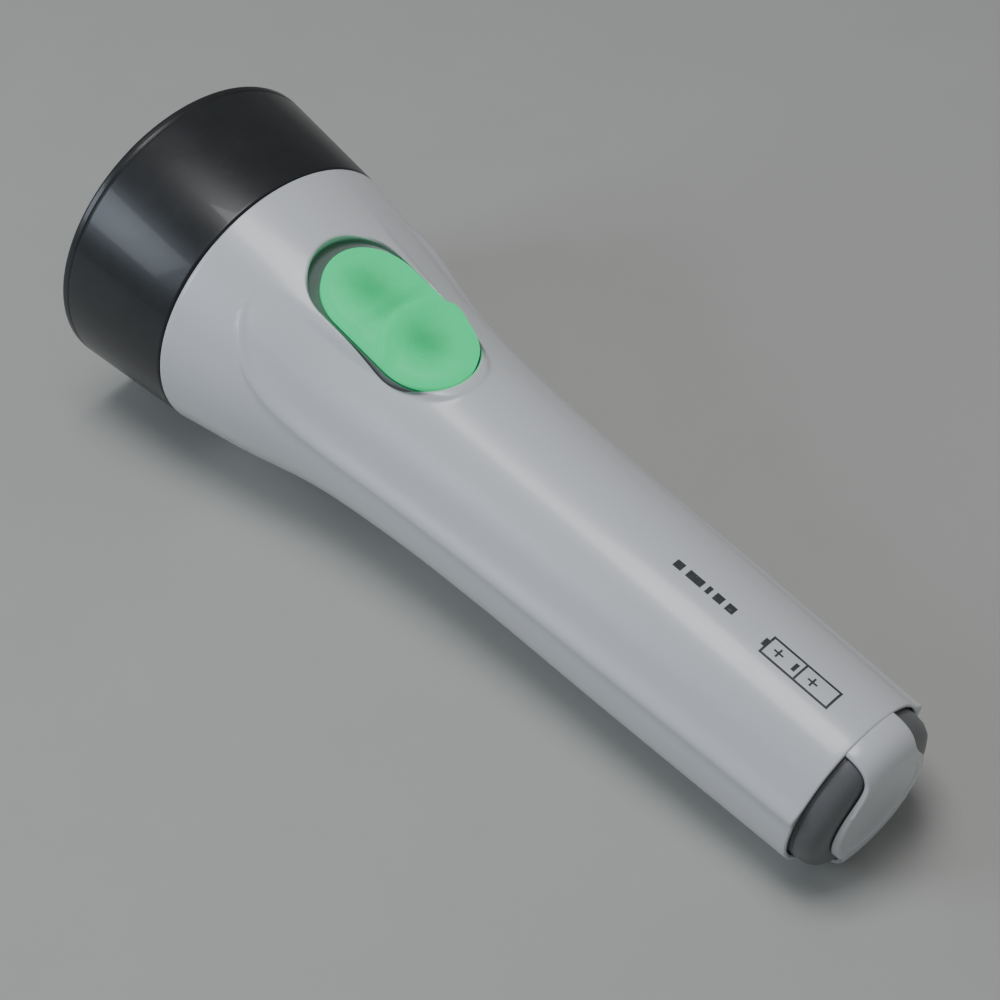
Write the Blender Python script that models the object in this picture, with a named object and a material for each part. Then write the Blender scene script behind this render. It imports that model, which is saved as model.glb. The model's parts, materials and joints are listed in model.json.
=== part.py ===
"""Hand torch with a glow-in-the-dark thumb slide, two D cells and a screw-on head.

The torch lies on its side, switch up, resting on its head rim and on the tail edge of its tube.
World axes: +X towards the beam, +Z up, origin under the middle of the whole torch.
Inside the torch everything is laid out along its own axis: x runs from the tail edge of the tube
(x = 0) to the head, z points to the switch. Those lengths are a plan: at the end every mesh is lengthened. The torch axis is tipped up a little by its wide head.
"""
import math

import bmesh
import bpy
import numpy as np
from mathutils import Matrix, Vector

MM = 0.001
FIT = 0.3 * MM

# Lengths along the axis ahead of the tail edge are drawn on a plan this much shorter than the torch.
LENGTHEN = 1.08

# Tube: length, radii along it, and the wall.
TAIL_RADIUS = 20.0 * MM
TUBE_LENGTH = 160.6 * MM
TUBE_PROFILE = ((0.0, 20.0), (48.2, 21.6), (80.3, 22.5), (104.4, 24.0), (125.2, 26.6), (144.6, 31.4),
                (160.6, 34.7))
TUBE_WALL = 1.8 * MM
TAIL_CHAMFER = 0.5 * MM
SOCKET_DEPTH = 5.0 * MM
RAIL_HALF_WIDTH = 0.7 * MM
RIDGE_HEIGHT = 0.55 * MM
RIDGE_HALF_WIDTH = math.radians(8.0)
RIDGE_TIP = 148.0 * MM
RIDGE_SWEEP = 34.0 * MM
RIDGE_ANGLES = (math.radians(33.0), math.radians(77.0), math.radians(71.0))

# Head: ring, lens and the neck that carries it.
RING_START = TUBE_LENGTH + FIT
RING_END = 189.2 * MM
RING_RADII = (34.7 * MM, 37.7 * MM)
NECK_RADIUS = 32.4 * MM
NECK_BORE = 30.4 * MM
NECK_END = 176.0 * MM
HOUSING_RADIUS = 34.6 * MM
LENS_RADIUS = 34.3 * MM
LENS_WINDOW = 33.2 * MM

# Reflector: a paraboloid with its focus in the lamp.
DISH_FOCUS = 7.5 * MM
DISH_VERTEX = 150.0 * MM
DISH_WALL = 1.2 * MM
LAMP_NECK_RADII = (9.6 * MM, 11.5 * MM)
LAMP_NECK_START = 140.0 * MM

# Cells, laid end to end behind the tail spring.
CELL_RADIUS = 16.7 * MM
CELL_CAN_LENGTH = 59.8 * MM / LENGTHEN
CELL_PITCH = CELL_CAN_LENGTH + 2.0 * MM
CELL_START = 18.15 * MM

# Switch: its own frame sits on the pad's edge line, sloped with the flare of the tube.
SWITCH_X = 123.2 * MM
SWITCH_Z = 27.6 * MM
SWITCH_SLOPE = math.radians(9.0)
SWITCH_TRAVEL = 3.0 * MM
PAD_HALF_WIDTH = 10.9 * MM
PAD_HALF_LENGTH = 18.9 * MM
CROWN_RADIUS = 38.0 * MM
CROWN_EDGE_SINK = 0.2 * MM
POCKET_GAP = 0.9 * MM
COLLAR_WALL = 1.2 * MM
PAD_UNDERSIDE = -2.6 * MM
POCKET_FLOOR = -2.9 * MM
FLOOR_UNDERSIDE = -4.5 * MM
BOSS_UNDERSIDE = -6.3 * MM
SLIDER_HALF = (10.0 * MM, 7.8 * MM)
SLIDER_HEIGHTS = (-5.6 * MM, -4.8 * MM)
STEM_HALF = (6.0 * MM, 3.0 * MM)
TRAY_HALF = (14.2 * MM, 12.4 * MM)
TRAY_HEIGHTS = (-8.3 * MM, -7.3 * MM)
TRAY_CENTRE = 1.5 * MM
TRAY_SCREW_OFFSET = 10.2 * MM
TRAY_SCREW_HOLE = 1.3 * MM
STRIP_HEIGHT = -6.85 * MM
STRIP_THICKNESS = 0.3 * MM

# Tail: cap, and the bracket whose disc the torch can stand on.
CAP_RADIUS = 18.5 * MM
CAP_BORE = 15.9 * MM
CAP_FLOOR = -1.5 * MM
FOOT_RADIUS = 13.3 * MM
FOOT_FACE = -7.5 * MM
TONGUE_HALF_WIDTH = 7.4 * MM

ROUND_STEPS = 48
SMALL_STEPS = 24
SMOOTH_ANGLE = math.radians(32.0)


def clear_scene():
    for item in list(bpy.data.objects):
        bpy.data.objects.remove(item)


# ---------------------------------------------------------------- materials

def material(name, colour, roughness, metallic=0.0):
    """A Principled material of one colour."""
    made = bpy.data.materials.new(name)
    made.use_nodes = True
    shader = made.node_tree.nodes["Principled BSDF"]
    shader.inputs["Base Color"].default_value = (*colour, 1.0)
    shader.inputs["Roughness"].default_value = roughness
    shader.inputs["Metallic"].default_value = metallic
    return made


def white_plastic():
    return material("white_plastic", (0.78, 0.79, 0.80), 0.35)


def black_plastic():
    return material("black_plastic", (0.02, 0.02, 0.022), 0.18)


def grey_plastic():
    return material("grey_plastic", (0.20, 0.20, 0.21), 0.45)


def glow_plastic():
    return material("glow_plastic", (0.35, 0.80, 0.62), 0.45)


def clear_plastic():
    return material("clear_plastic", (0.95, 0.96, 0.97), 0.05)


def mirror_coat():
    return material("mirror_coat", (0.90, 0.90, 0.91), 0.06, 1.0)


def tinned_steel():
    return material("tinned_steel", (0.72, 0.72, 0.70), 0.28, 1.0)


def brass():
    return material("brass", (0.80, 0.60, 0.28), 0.30, 1.0)


def spring_steel():
    return material("spring_steel", (0.58, 0.58, 0.60), 0.25, 1.0)


def circuit_board():
    return material("circuit_board", (0.03, 0.22, 0.10), 0.40)


def black_rubber():
    return material("black_rubber", (0.03, 0.03, 0.03), 0.70)


def cell_jacket():
    return material("cell_jacket", (0.10, 0.16, 0.36), 0.35)


# ---------------------------------------------------------------- mesh tools

def add_object(name, bm, look, parent, smooth=True):
    """Turn a bmesh into a named object on a parent empty, with its faces pointing out."""
    bmesh.ops.remove_doubles(bm, verts=bm.verts, dist=1e-6)
    bmesh.ops.recalc_face_normals(bm, faces=bm.faces)
    mesh = bpy.data.meshes.new(name)
    bm.to_mesh(mesh)
    bm.free()
    if smooth:
        mesh.shade_smooth()
        mesh.set_sharp_from_angle(angle=SMOOTH_ANGLE)
    made = bpy.data.objects.new(name, mesh)
    if look is not None:
        mesh.materials.append(look)
    bpy.context.collection.objects.link(made)
    made.parent = parent
    return made


def frame(name, location, tilt, parent=None):
    """An empty that turns everything on it about +Y, nose up for a positive tilt."""
    empty = bpy.data.objects.new(name, None)
    empty.location = location
    empty.rotation_euler = (0.0, -tilt, 0.0)
    bpy.context.collection.objects.link(empty)
    empty.parent = parent
    return empty


def turned(outline, steps=ROUND_STEPS, closed=True):
    """Spin an outline of (x, radius) points about the torch axis, a flat facet at the bottom."""
    bm = bmesh.new()
    turn = Matrix.Rotation(math.pi / steps, 4, "X")
    points = [bm.verts.new(turn @ Vector((x, 0.0, radius))) for x, radius in outline]
    edges = [bm.edges.new(pair) for pair in zip(points[:-1], points[1:])]
    if closed:
        edges.append(bm.edges.new((points[-1], points[0])))
    bmesh.ops.spin(bm, geom=points + edges, axis=(1, 0, 0), cent=(0, 0, 0), dvec=(0, 0, 0),
                   angle=2 * math.pi, steps=steps, use_merge=True)
    return bm


def turned_solid(outline, steps=SMALL_STEPS):
    """Spin an outline that starts and ends on the axis."""
    return turned(outline, steps, closed=False)


def stadium(half_length, half_width, steps=12):
    """Points round a plan with straight sides and two round ends."""
    straight = half_length - half_width
    turn = np.linspace(-math.pi / 2, math.pi / 2, steps + 1)
    front = np.column_stack((straight + half_width * np.cos(turn), half_width * np.sin(turn)))
    return np.vstack((front, -front))


def prism(plan, low, high, centre=0.0):
    """Extrude a plan from one height to another along +Z, moved along X by its centre."""
    bm = bmesh.new()
    base = bm.faces.new([bm.verts.new((x + centre, y, low)) for x, y in plan])
    grown = bmesh.ops.extrude_face_region(bm, geom=[base])
    top = [item for item in grown["geom"] if isinstance(item, bmesh.types.BMVert)]
    bmesh.ops.translate(bm, verts=top, vec=(0.0, 0.0, high - low))
    return bm


def block(low, high):
    """A plain box between two corners."""
    plan = ((low[0], low[1]), (high[0], low[1]), (high[0], high[1]), (low[0], high[1]))
    return prism(plan, low[2], high[2])


def grid_solid(rings, wrap):
    """Skin rings of equal point counts; either join last to first or cap both ends."""
    bm = bmesh.new()
    rows = [[bm.verts.new(point) for point in ring] for ring in rings]
    pairs = list(zip(rows[:-1], rows[1:]))
    if wrap:
        pairs.append((rows[-1], rows[0]))
    for near, far in pairs:
        for i in range(len(near)):
            j = (i + 1) % len(near)
            bm.faces.new((near[i], near[j], far[j], far[i]))
    if not wrap:
        bm.faces.new(rows[0])
        bm.faces.new(rows[-1])
    return bm


def combine(target, bm, operation):
    """Cut, join or intersect a target with a tool solid in the target's own frame, exactly."""
    tool = add_object("tool", bm, None, target.parent, smooth=False)
    step = target.modifiers.new(operation, "BOOLEAN")
    step.operation = operation
    step.object = tool
    bpy.context.view_layer.update()
    result = bpy.data.meshes.new_from_object(target.evaluated_get(bpy.context.evaluated_depsgraph_get()))
    target.modifiers.clear()
    result.name = target.name
    target.data = result
    bpy.data.objects.remove(tool)
    return target


def ribbon(path, width, thickness):
    """A strip of sheet metal that follows (x, z) points, as wide as given across Y."""
    points = [Vector((x, 0.0, z)) for x, z in path]
    side = Vector((0.0, width / 2, 0.0))
    rings = []
    for i, point in enumerate(points):
        ahead = (points[min(i + 1, len(points) - 1)] - point).normalized()
        behind = (point - points[max(i - 1, 0)]).normalized()
        along = (ahead + behind).normalized()
        up = Vector((-along.z, 0.0, along.x)) * thickness / 2
        rings.append([point + side + up, point - side + up, point - side - up, point + side - up])
    return grid_solid(rings, wrap=False)


def coil(start, length, radii, turns, wire, steps_per_turn=10, sides=5):
    """A spring along X whose radius runs from the first of radii to the second, with level ends."""
    count = int(turns * steps_per_turn)
    along = np.linspace(0.0, 1.0, count + 1)
    turn = 2 * math.pi * turns * along
    radius = radii[0] + (radii[1] - radii[0]) * along
    climb = np.clip((along * turns - 0.75) / (turns - 1.5), 0.0, 1.0)
    x = start + wire / 2 + (length - wire) * climb
    centre = np.column_stack((x, radius * np.cos(turn), radius * np.sin(turn)))
    rings = []
    for i in range(count + 1):
        outward = Vector((0.0, math.cos(turn[i]), math.sin(turn[i])))
        middle = Vector(centre[i])
        ring = []
        for side in range(sides):
            angle = 2 * math.pi * side / sides
            ring.append(middle + wire / 2 * (outward * math.cos(angle) + Vector((math.sin(angle), 0, 0))))
        rings.append(ring)
    return grid_solid(rings, wrap=False)


# ---------------------------------------------------------------- tube surface

def tube_radius(x):
    """Radius of the tube at x: a smooth curve through the profile's points."""
    points = np.array(TUBE_PROFILE) * MM
    slope = np.diff(points[:, 1]) / np.diff(points[:, 0])
    tangent = np.concatenate((slope[:1], (slope[:-1] + slope[1:]) / 2, slope[-1:]))
    i = np.clip(np.searchsorted(points[:, 0], x, side="right") - 1, 0, len(points) - 2)
    step = points[i + 1, 0] - points[i, 0]
    u = (x - points[i, 0]) / step
    rise = (2 * u**3 - 3 * u**2 + 1) * points[i, 1] + (3 * u**2 - 2 * u**3) * points[i + 1, 1]
    return rise + step * ((u**3 - 2 * u**2 + u) * tangent[i] + (u**3 - u**2) * tangent[i + 1])


def smoothstep(low, high, value):
    u = np.clip((value - low) / (high - low), 0.0, 1.0)
    return u * u * (3 - 2 * u)


def ridge_angle(x):
    """Where the side ridge runs: it leaves a tip beside the switch and sweeps down to the side."""
    tip, side, tail = RIDGE_ANGLES
    sweep = np.sqrt(np.clip((RIDGE_TIP - x) / RIDGE_SWEEP, 0.0, 1.0))
    straight = tail + (side - tail) * smoothstep(0.0, RIDGE_TIP - RIDGE_SWEEP, x)
    return tip + (straight - tip) * np.sin(sweep * math.pi / 2)


def tube_point(x, angle, inset=0.0):
    """A point on the tube's outside; the angle is from the top. The ridge is a low smooth swell."""
    fade = smoothstep(RIDGE_TIP + 2 * MM, RIDGE_TIP - 10 * MM, x)
    away = (abs(math.remainder(angle, 2 * math.pi)) - ridge_angle(x)) / RIDGE_HALF_WIDTH
    radius = tube_radius(x) + RIDGE_HEIGHT * fade * math.exp(-away * away) - inset
    return (x, radius * math.sin(angle), radius * math.cos(angle))


def tube_angles():
    return [2 * math.pi * (i + 0.5) / ROUND_STEPS for i in range(ROUND_STEPS)]


def plain_ring(x, radius):
    return [(x, radius * math.sin(angle), radius * math.cos(angle)) for angle in tube_angles()]


def outer_rings():
    """Rings along the outside of the tube, closer together where it flares."""
    stations = [0.0, 16.0, 32.0, 48.0, 64.0, 80.0, 92.0, 102.0, 110.0, 117.0, 124.0, 130.0, 136.0, 142.0,
                148.0, 154.0]
    rings = [[tube_point(0.0, angle, TAIL_CHAMFER) for angle in tube_angles()]]
    rings += [[tube_point(max(x * MM, TAIL_CHAMFER), angle) for angle in tube_angles()] for x in stations]
    rings.append(plain_ring(TUBE_LENGTH, RING_RADII[0]))
    return rings


def inner_rings():
    """Rings back along the neck, the flare, the battery bore and the tail socket."""
    rings = [plain_ring(TUBE_LENGTH, NECK_RADIUS), plain_ring(NECK_END, NECK_RADIUS),
             plain_ring(NECK_END, NECK_BORE), plain_ring(152.0 * MM, NECK_BORE)]
    for x in (142.0, 134.0, 124.0, 112.0, 100.0, 80.0, 40.0):
        rings.append(plain_ring(x * MM, float(tube_radius(x * MM)) - TUBE_WALL))
    socket = CAP_RADIUS + 1.3 * FIT
    rings += [plain_ring(SOCKET_DEPTH, TAIL_RADIUS - TUBE_WALL), plain_ring(SOCKET_DEPTH, socket),
              plain_ring(0.0, socket)]
    return rings


# ---------------------------------------------------------------- switch pieces

def switch_to_tube(along, height):
    """Where a point of the switch's frame lies in the torch's (x, z)."""
    slope = SWITCH_SLOPE
    return (SWITCH_X + along * math.cos(slope) - height * math.sin(slope),
            SWITCH_Z + along * math.sin(slope) + height * math.cos(slope))


def in_tube_frame(bm):
    """Move a solid from the switch's frame into the torch's."""
    place = Matrix.Translation((SWITCH_X, 0.0, SWITCH_Z)) @ Matrix.Rotation(-SWITCH_SLOPE, 4, "Y")
    bmesh.ops.transform(bm, matrix=place, verts=bm.verts)
    return bm


def topped_prism(half_length, half_width, low, height, centre=0.0, across=10, along=12):
    """A stadium-shaped block with a flat underside and a top surface given by height(x, y)."""
    bm = bmesh.new()
    straight = half_length - half_width
    grid = []
    for turn in np.linspace(-math.pi / 2, math.pi / 2, across + 1):
        y = half_width * math.sin(turn)
        reach = straight + half_width * math.cos(turn)
        row = [reach * side for side in np.linspace(-1.0, 1.0, along + 1)]
        grid.append([bm.verts.new((x + centre, y, height(x, y))) for x in row])
    for near, far in zip(grid[:-1], grid[1:]):
        for i in range(along):
            bm.faces.new((near[i], near[i + 1], far[i + 1], far[i]))
    rim = grid[0] + [row[-1] for row in grid[1:]] + grid[-1][-2::-1] + [row[0] for row in grid[-2:0:-1]]
    base = [bm.verts.new((vert.co.x, vert.co.y, low)) for vert in rim]
    for i in range(len(rim)):
        j = (i + 1) % len(rim)
        bm.faces.new((rim[i], base[i], base[j], rim[j]))
    bm.faces.new(base)
    return bm


def crown(x, y):
    """Height of the cylinder-like crown that the collar follows."""
    return -CROWN_EDGE_SINK - y * y / (2 * CROWN_RADIUS)


def pad_height(x, y):
    """The pad's top: a crown with rounded edges, a thumb dish fore and aft, and a rib between them."""
    inside = PAD_HALF_WIDTH - math.hypot(max(abs(x) - PAD_HALF_LENGTH + PAD_HALF_WIDTH, 0.0), y)
    edge = 1.0 - min(inside / (3.0 * MM), 1.0)
    dome = 1.3 * MM - 1.5 * MM * edge * edge - y * y / (2 * CROWN_RADIUS)
    front_dish = 1.1 * MM * math.exp(-((x - 9.5 * MM) / (5.0 * MM))**2 - (y / (4.5 * MM))**2)
    rear_dish = 1.3 * MM * math.exp(-((x + 8.0 * MM) / (5.0 * MM))**2 - (y / (4.5 * MM))**2)
    crest = x + 0.5 * MM + y * y / (25.0 * MM)
    rib = 1.0 * MM * math.exp(-(crest / (2.2 * MM))**2)
    return dome - front_dish - rear_dish + rib


def switch_pad(switch, look):
    """The thumb slide: pad and stem in one moulding."""
    pad = add_object("switch_pad", topped_prism(PAD_HALF_LENGTH, PAD_HALF_WIDTH, PAD_UNDERSIDE, pad_height,
                                                across=12, along=22), look, switch)
    stem = block((-STEM_HALF[0], -STEM_HALF[1], SLIDER_HEIGHTS[0] - 0.1 * MM),
                 (STEM_HALF[0], STEM_HALF[1], PAD_UNDERSIDE + FIT))
    return combine(pad, stem, "UNION")


def switch_slider(switch, look):
    """The plate under the floor that the pad's stem snaps into."""
    low, high = SLIDER_HEIGHTS
    plate = block((-SLIDER_HALF[0], -SLIDER_HALF[1], low), (SLIDER_HALF[0], SLIDER_HALF[1], high))
    slider = add_object("switch_slider", plate, look, switch)
    hole = block((-STEM_HALF[0] - FIT, -STEM_HALF[1] - FIT, low - FIT),
                 (STEM_HALF[0] + FIT, STEM_HALF[1] + FIT, high + FIT))
    return combine(slider, hole, "DIFFERENCE")


def slide_contact(switch, look):
    """The blade under the slider that bridges the two strips when the pad is forward."""
    path = ((-8.0, -6.0), (-6.0, -6.3), (-4.0, -6.0), (4.0, -6.0), (6.0, -6.3), (8.0, -6.0))
    return add_object("slide_contact", ribbon([(x * MM, z * MM) for x, z in path], 5.0 * MM, 0.25 * MM),
                      look, switch, smooth=False)


def switch_tray(switch_seat, look):
    """The insulating plate that carries the fixed strips, with a pad round each screw."""
    low, high = TRAY_HEIGHTS
    plate = block((TRAY_CENTRE - TRAY_HALF[0], -TRAY_HALF[1], low),
                  (TRAY_CENTRE + TRAY_HALF[0], TRAY_HALF[1], high))
    tray = add_object("switch_tray", plate, look, switch_seat, smooth=False)
    for side in (-1, 1):
        lift = block((TRAY_CENTRE - 2.4 * MM, -1.9 * MM, high - FIT),
                     (TRAY_CENTRE + 2.4 * MM, 1.9 * MM, BOSS_UNDERSIDE - FIT))
        bmesh.ops.translate(lift, verts=lift.verts, vec=(0.0, side * TRAY_SCREW_OFFSET, 0.0))
        combine(tray, lift, "UNION")
        combine(tray, screw_hole(side, low - FIT, BOSS_UNDERSIDE), "DIFFERENCE")
    return tray


def screw_hole(side, low, high):
    """A cutter for a clearance hole on one side of the tray."""
    turns = np.arange(12) * math.pi / 6
    circle = TRAY_SCREW_HOLE * np.column_stack((np.cos(turns), np.sin(turns)))
    bm = prism(circle, low, high, TRAY_CENTRE)
    bmesh.ops.translate(bm, verts=bm.verts, vec=(0.0, side * TRAY_SCREW_OFFSET, 0.0))
    return bm


def tray_screw(switch_seat, look, side, name):
    """A pan-head self-tapping screw, head down, modelled without its thread."""
    head, shank = 2.2 * MM, 0.9 * MM
    seat = TRAY_HEIGHTS[0] - FIT
    outline = ((0.0, 0.0), (0.0, head * 0.45), (0.35 * MM, head * 0.85), (0.8 * MM, head), (1.2 * MM, head),
               (1.2 * MM, shank), (4.6 * MM, shank), (5.2 * MM, 0.4 * MM), (5.2 * MM, 0.0))
    bm = turned_solid(outline, 12)
    stand = Matrix.Rotation(-math.pi / 2, 4, "Y")
    bmesh.ops.transform(bm, matrix=stand, verts=bm.verts)
    screw = add_object(name, bm, look, switch_seat)
    screw.location = (TRAY_CENTRE, side * TRAY_SCREW_OFFSET, seat - 1.2 * MM)
    return screw


# ---------------------------------------------------------------- tube and tail

def body_shell(torch, look):
    """The tube with its neck, side ridges, switch collar, pocket, slot and screw bosses."""
    shell = add_object("body_shell", grid_solid(outer_rings() + inner_rings(), wrap=True), look, torch)
    half_length = PAD_HALF_LENGTH + POCKET_GAP + SWITCH_TRAVEL / 2
    half_width = PAD_HALF_WIDTH + POCKET_GAP
    ahead = SWITCH_TRAVEL / 2
    collar = topped_prism(half_length + COLLAR_WALL, half_width + COLLAR_WALL, BOSS_UNDERSIDE, crown, ahead,
                          along=1)
    combine(shell, in_tube_frame(collar), "UNION")
    pocket = prism(stadium(half_length, half_width), POCKET_FLOOR, 8.0 * MM, ahead)
    combine(shell, in_tube_frame(pocket), "DIFFERENCE")
    room = 0.5 * MM
    chamber = block((-SLIDER_HALF[0] - room, -SLIDER_HALF[1] - room, BOSS_UNDERSIDE - 2 * MM),
                    (SLIDER_HALF[0] + SWITCH_TRAVEL + room, SLIDER_HALF[1] + room, FLOOR_UNDERSIDE))
    combine(shell, in_tube_frame(chamber), "DIFFERENCE")
    slot = block((-STEM_HALF[0] - room, -STEM_HALF[1] - room, FLOOR_UNDERSIDE - FIT),
                 (STEM_HALF[0] + SWITCH_TRAVEL + room, STEM_HALF[1] + room, POCKET_FLOOR + FIT))
    combine(shell, in_tube_frame(slot), "DIFFERENCE")
    for side in (-1, 1):
        hole = screw_hole(side, BOSS_UNDERSIDE - FIT, POCKET_FLOOR - FIT)
        combine(shell, in_tube_frame(hole), "DIFFERENCE")
    for third in (60, 180, 300):
        combine(shell, rail(math.radians(third)), "UNION")
    return shell


def rail(angle):
    """One of the ribs inside the tube that hold the cells on its axis."""
    side_view = ((9.8, 17.1), (126.0, 17.1), (126.0, 25.8), (112.0, 23.6), (80.0, 21.4), (9.8, 19.2))
    bm = bmesh.new()
    base = bm.faces.new([bm.verts.new((x * MM, -RAIL_HALF_WIDTH, z * MM)) for x, z in side_view])
    grown = bmesh.ops.extrude_face_region(bm, geom=[base])
    moved = [item for item in grown["geom"] if isinstance(item, bmesh.types.BMVert)]
    bmesh.ops.translate(bm, verts=moved, vec=(0.0, 2 * RAIL_HALF_WIDTH, 0.0))
    bmesh.ops.transform(bm, matrix=Matrix.Rotation(angle, 4, "X"), verts=bm.verts)
    return bm


def tail_cap(torch, look):
    """The grey plug in the tail: a domed cup with a notch for the tail strip."""
    bend = 4.3 * MM
    middle = (-1.6 * MM, CAP_RADIUS - bend)
    shoulder = arc(middle, bend, 180, 90)
    outline = [(middle[0] - bend, 0.0)] + shoulder
    outline += [(4.7 * MM, CAP_RADIUS), (4.7 * MM, 17.8 * MM), (9.0 * MM, 17.8 * MM), (9.0 * MM, CAP_BORE)]
    outline += [(CAP_FLOOR, CAP_BORE), (CAP_FLOOR, 0.0)]
    cap = add_object("tail_cap", turned_solid(outline, ROUND_STEPS), look, torch)
    notch = block((1.6 * MM, -3.6 * MM, CAP_BORE - 1.4 * MM), (9.5 * MM, 3.6 * MM, CAP_RADIUS + 0.5 * MM))
    return combine(cap, notch, "DIFFERENCE")


def arc(middle, radius, start, end, steps=4):
    """Outline points along an arc, angles in degrees from +X towards +radius."""
    turns = np.radians(np.linspace(start, end, steps + 1))
    return [(middle[0] + radius * math.cos(turn), middle[1] + radius * math.sin(turn)) for turn in turns]


def tail_bracket(torch, look):
    """The white bracket: a tongue over the cap above and below, joined by the disc it stands on."""
    middle = (-1.3 * MM, 13.8 * MM)
    inner = arc(middle, 5.1 * MM, 90, 180)
    outer = arc(middle, TAIL_RADIUS - middle[1] - 0.1 * MM, 180, 90)
    foot_edge = 12.5 * MM
    dome = [(-FIT, inner[0][1])] + inner + [(inner[-1][0], foot_edge), (outer[0][0], foot_edge)] + outer
    dome.append((-FIT, outer[-1][1]))
    bracket = add_object("tail_bracket", turned(dome, ROUND_STEPS), look, torch)
    slice_ = block((-10 * MM, -TONGUE_HALF_WIDTH, -25 * MM), (1 * MM, TONGUE_HALF_WIDTH, 25 * MM))
    combine(bracket, slice_, "INTERSECT")
    rim, sink = 2.0 * MM, 0.3 * MM
    foot = [(-6.2 * MM, 0.0), (-6.2 * MM, FOOT_RADIUS), (FOOT_FACE + 0.4 * MM, FOOT_RADIUS),
            (FOOT_FACE, FOOT_RADIUS - 0.4 * MM), (FOOT_FACE, FOOT_RADIUS - rim),
            (FOOT_FACE + sink, FOOT_RADIUS - rim - sink), (FOOT_FACE + sink, 0.0)]
    return combine(bracket, turned_solid(foot, ROUND_STEPS), "UNION")


def tail_contacts(torch, metal, wire):
    """Tail plate, the coil spring on it, and the strip that runs forward along the top of the tube."""
    plate = [(-1.2 * MM, 0.0), (-1.2 * MM, 15.4 * MM), (-0.7 * MM, 15.4 * MM), (-0.7 * MM, 0.0)]
    add_object("tail_plate", turned_solid(plate), metal, torch)
    add_object("tail_spring", coil(-0.4 * MM, 18.25 * MM, (10.0 * MM, 5.0 * MM), 5.5, 1.2 * MM), wire, torch)
    path = [(-0.25, 12.0), (-0.25, 15.2), (2.4, 15.2), (3.1, 17.3), (106.0, 17.3)]
    path = [(x * MM, z * MM) for x, z in path]
    path += [switch_to_tube(-11.5 * MM, STRIP_HEIGHT), switch_to_tube(-3.5 * MM, STRIP_HEIGHT)]
    add_object("tail_strip", ribbon(path, 6.0 * MM, STRIP_THICKNESS), metal, torch, smooth=False)


def cell(torch, name, start, jacket, metal):
    """One D cell: jacketed can and its positive cap."""
    end = start + CELL_CAN_LENGTH
    can = [(start, 0.0), (start, 15.4 * MM), (start + 0.6 * MM, CELL_RADIUS), (end - 1.0 * MM, CELL_RADIUS),
           (end, 15.4 * MM), (end, 0.0)]
    add_object(name, turned_solid(can, 32), jacket, torch)
    cap = [(end + FIT, 0.0), (end + FIT, 4.9 * MM), (end + 1.5 * MM, 4.5 * MM), (end + 1.7 * MM, 3.6 * MM),
           (end + 1.7 * MM, 0.0)]
    add_object(name + "_cap", turned_solid(cap, 16), metal, torch)


# ---------------------------------------------------------------- head and lamp

def head_ring(torch, look):
    """The black ring that screws on the neck and clamps the lens."""
    bore = NECK_RADIUS + FIT
    shoulder = NECK_END + 2.6 * FIT
    slope = (RING_RADII[1] - RING_RADII[0]) / (RING_END - RING_START)
    edge = 0.5 * MM
    outline = [(RING_START, bore), (RING_START, RING_RADII[0] - edge), (RING_START + edge, RING_RADII[0]),
               (RING_END - edge, RING_RADII[1] - slope * edge), (RING_END, RING_RADII[1] - edge),
               (RING_END, LENS_WINDOW + 0.8 * MM), (RING_END - 1.2 * MM, LENS_WINDOW),
               (RING_END - 1.4 * MM, LENS_WINDOW), (RING_END - 1.4 * MM, HOUSING_RADIUS),
               (shoulder, HOUSING_RADIUS), (shoulder, bore)]
    return add_object("head_ring", turned(outline), look, torch)


def reflector(torch, look):
    """Paraboloid dish, clamping flange and skirt, and the rear neck that holds the lamp."""
    flange, skirt = 183.0 * MM, NECK_END + FIT
    hole = 4.8 * MM
    inside = [(DISH_VERTEX + r * r / (4 * DISH_FOCUS), r) for r in np.linspace(hole, 31.0 * MM, 9)]
    outside = []
    for r in np.linspace(29.0 * MM, 10.9 * MM, 6):
        lean = r / (2 * DISH_FOCUS)
        step = DISH_WALL / math.hypot(1.0, lean)
        outside.append((DISH_VERTEX + r * r / (4 * DISH_FOCUS) - step, r + step * lean))
    front = flange + 1.5 * MM
    outline = inside + [(front, 31.0 * MM), (front, LENS_RADIUS), (flange, LENS_RADIUS), (flange, NECK_RADIUS),
                        (skirt, NECK_RADIUS), (skirt, 31.2 * MM), (180.2 * MM, 31.2 * MM)]
    outline += outside + [(152.8 * MM, LAMP_NECK_RADII[1]), (LAMP_NECK_START, LAMP_NECK_RADII[1]),
                          (LAMP_NECK_START, LAMP_NECK_RADII[0]), (149.6 * MM, LAMP_NECK_RADII[0]),
                          (149.6 * MM, hole)]
    return add_object("reflector", turned([(float(x), float(r)) for x, r in outline]), look, torch)


def lens_and_gasket(torch, clear, rubber):
    """Flat window and the rubber ring that seals it under the head ring's lip."""
    back, front = 184.8 * MM, 186.4 * MM
    pane = [(back, 0.0), (back, LENS_RADIUS), (front, LENS_RADIUS), (front, 0.0)]
    add_object("lens", turned_solid(pane, ROUND_STEPS), clear, torch)
    ring = arc((187.1 * MM, 33.9 * MM), 0.4 * MM, 0, 300, 5)
    add_object("lens_gasket", turned(ring, ROUND_STEPS), rubber, torch)


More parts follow.
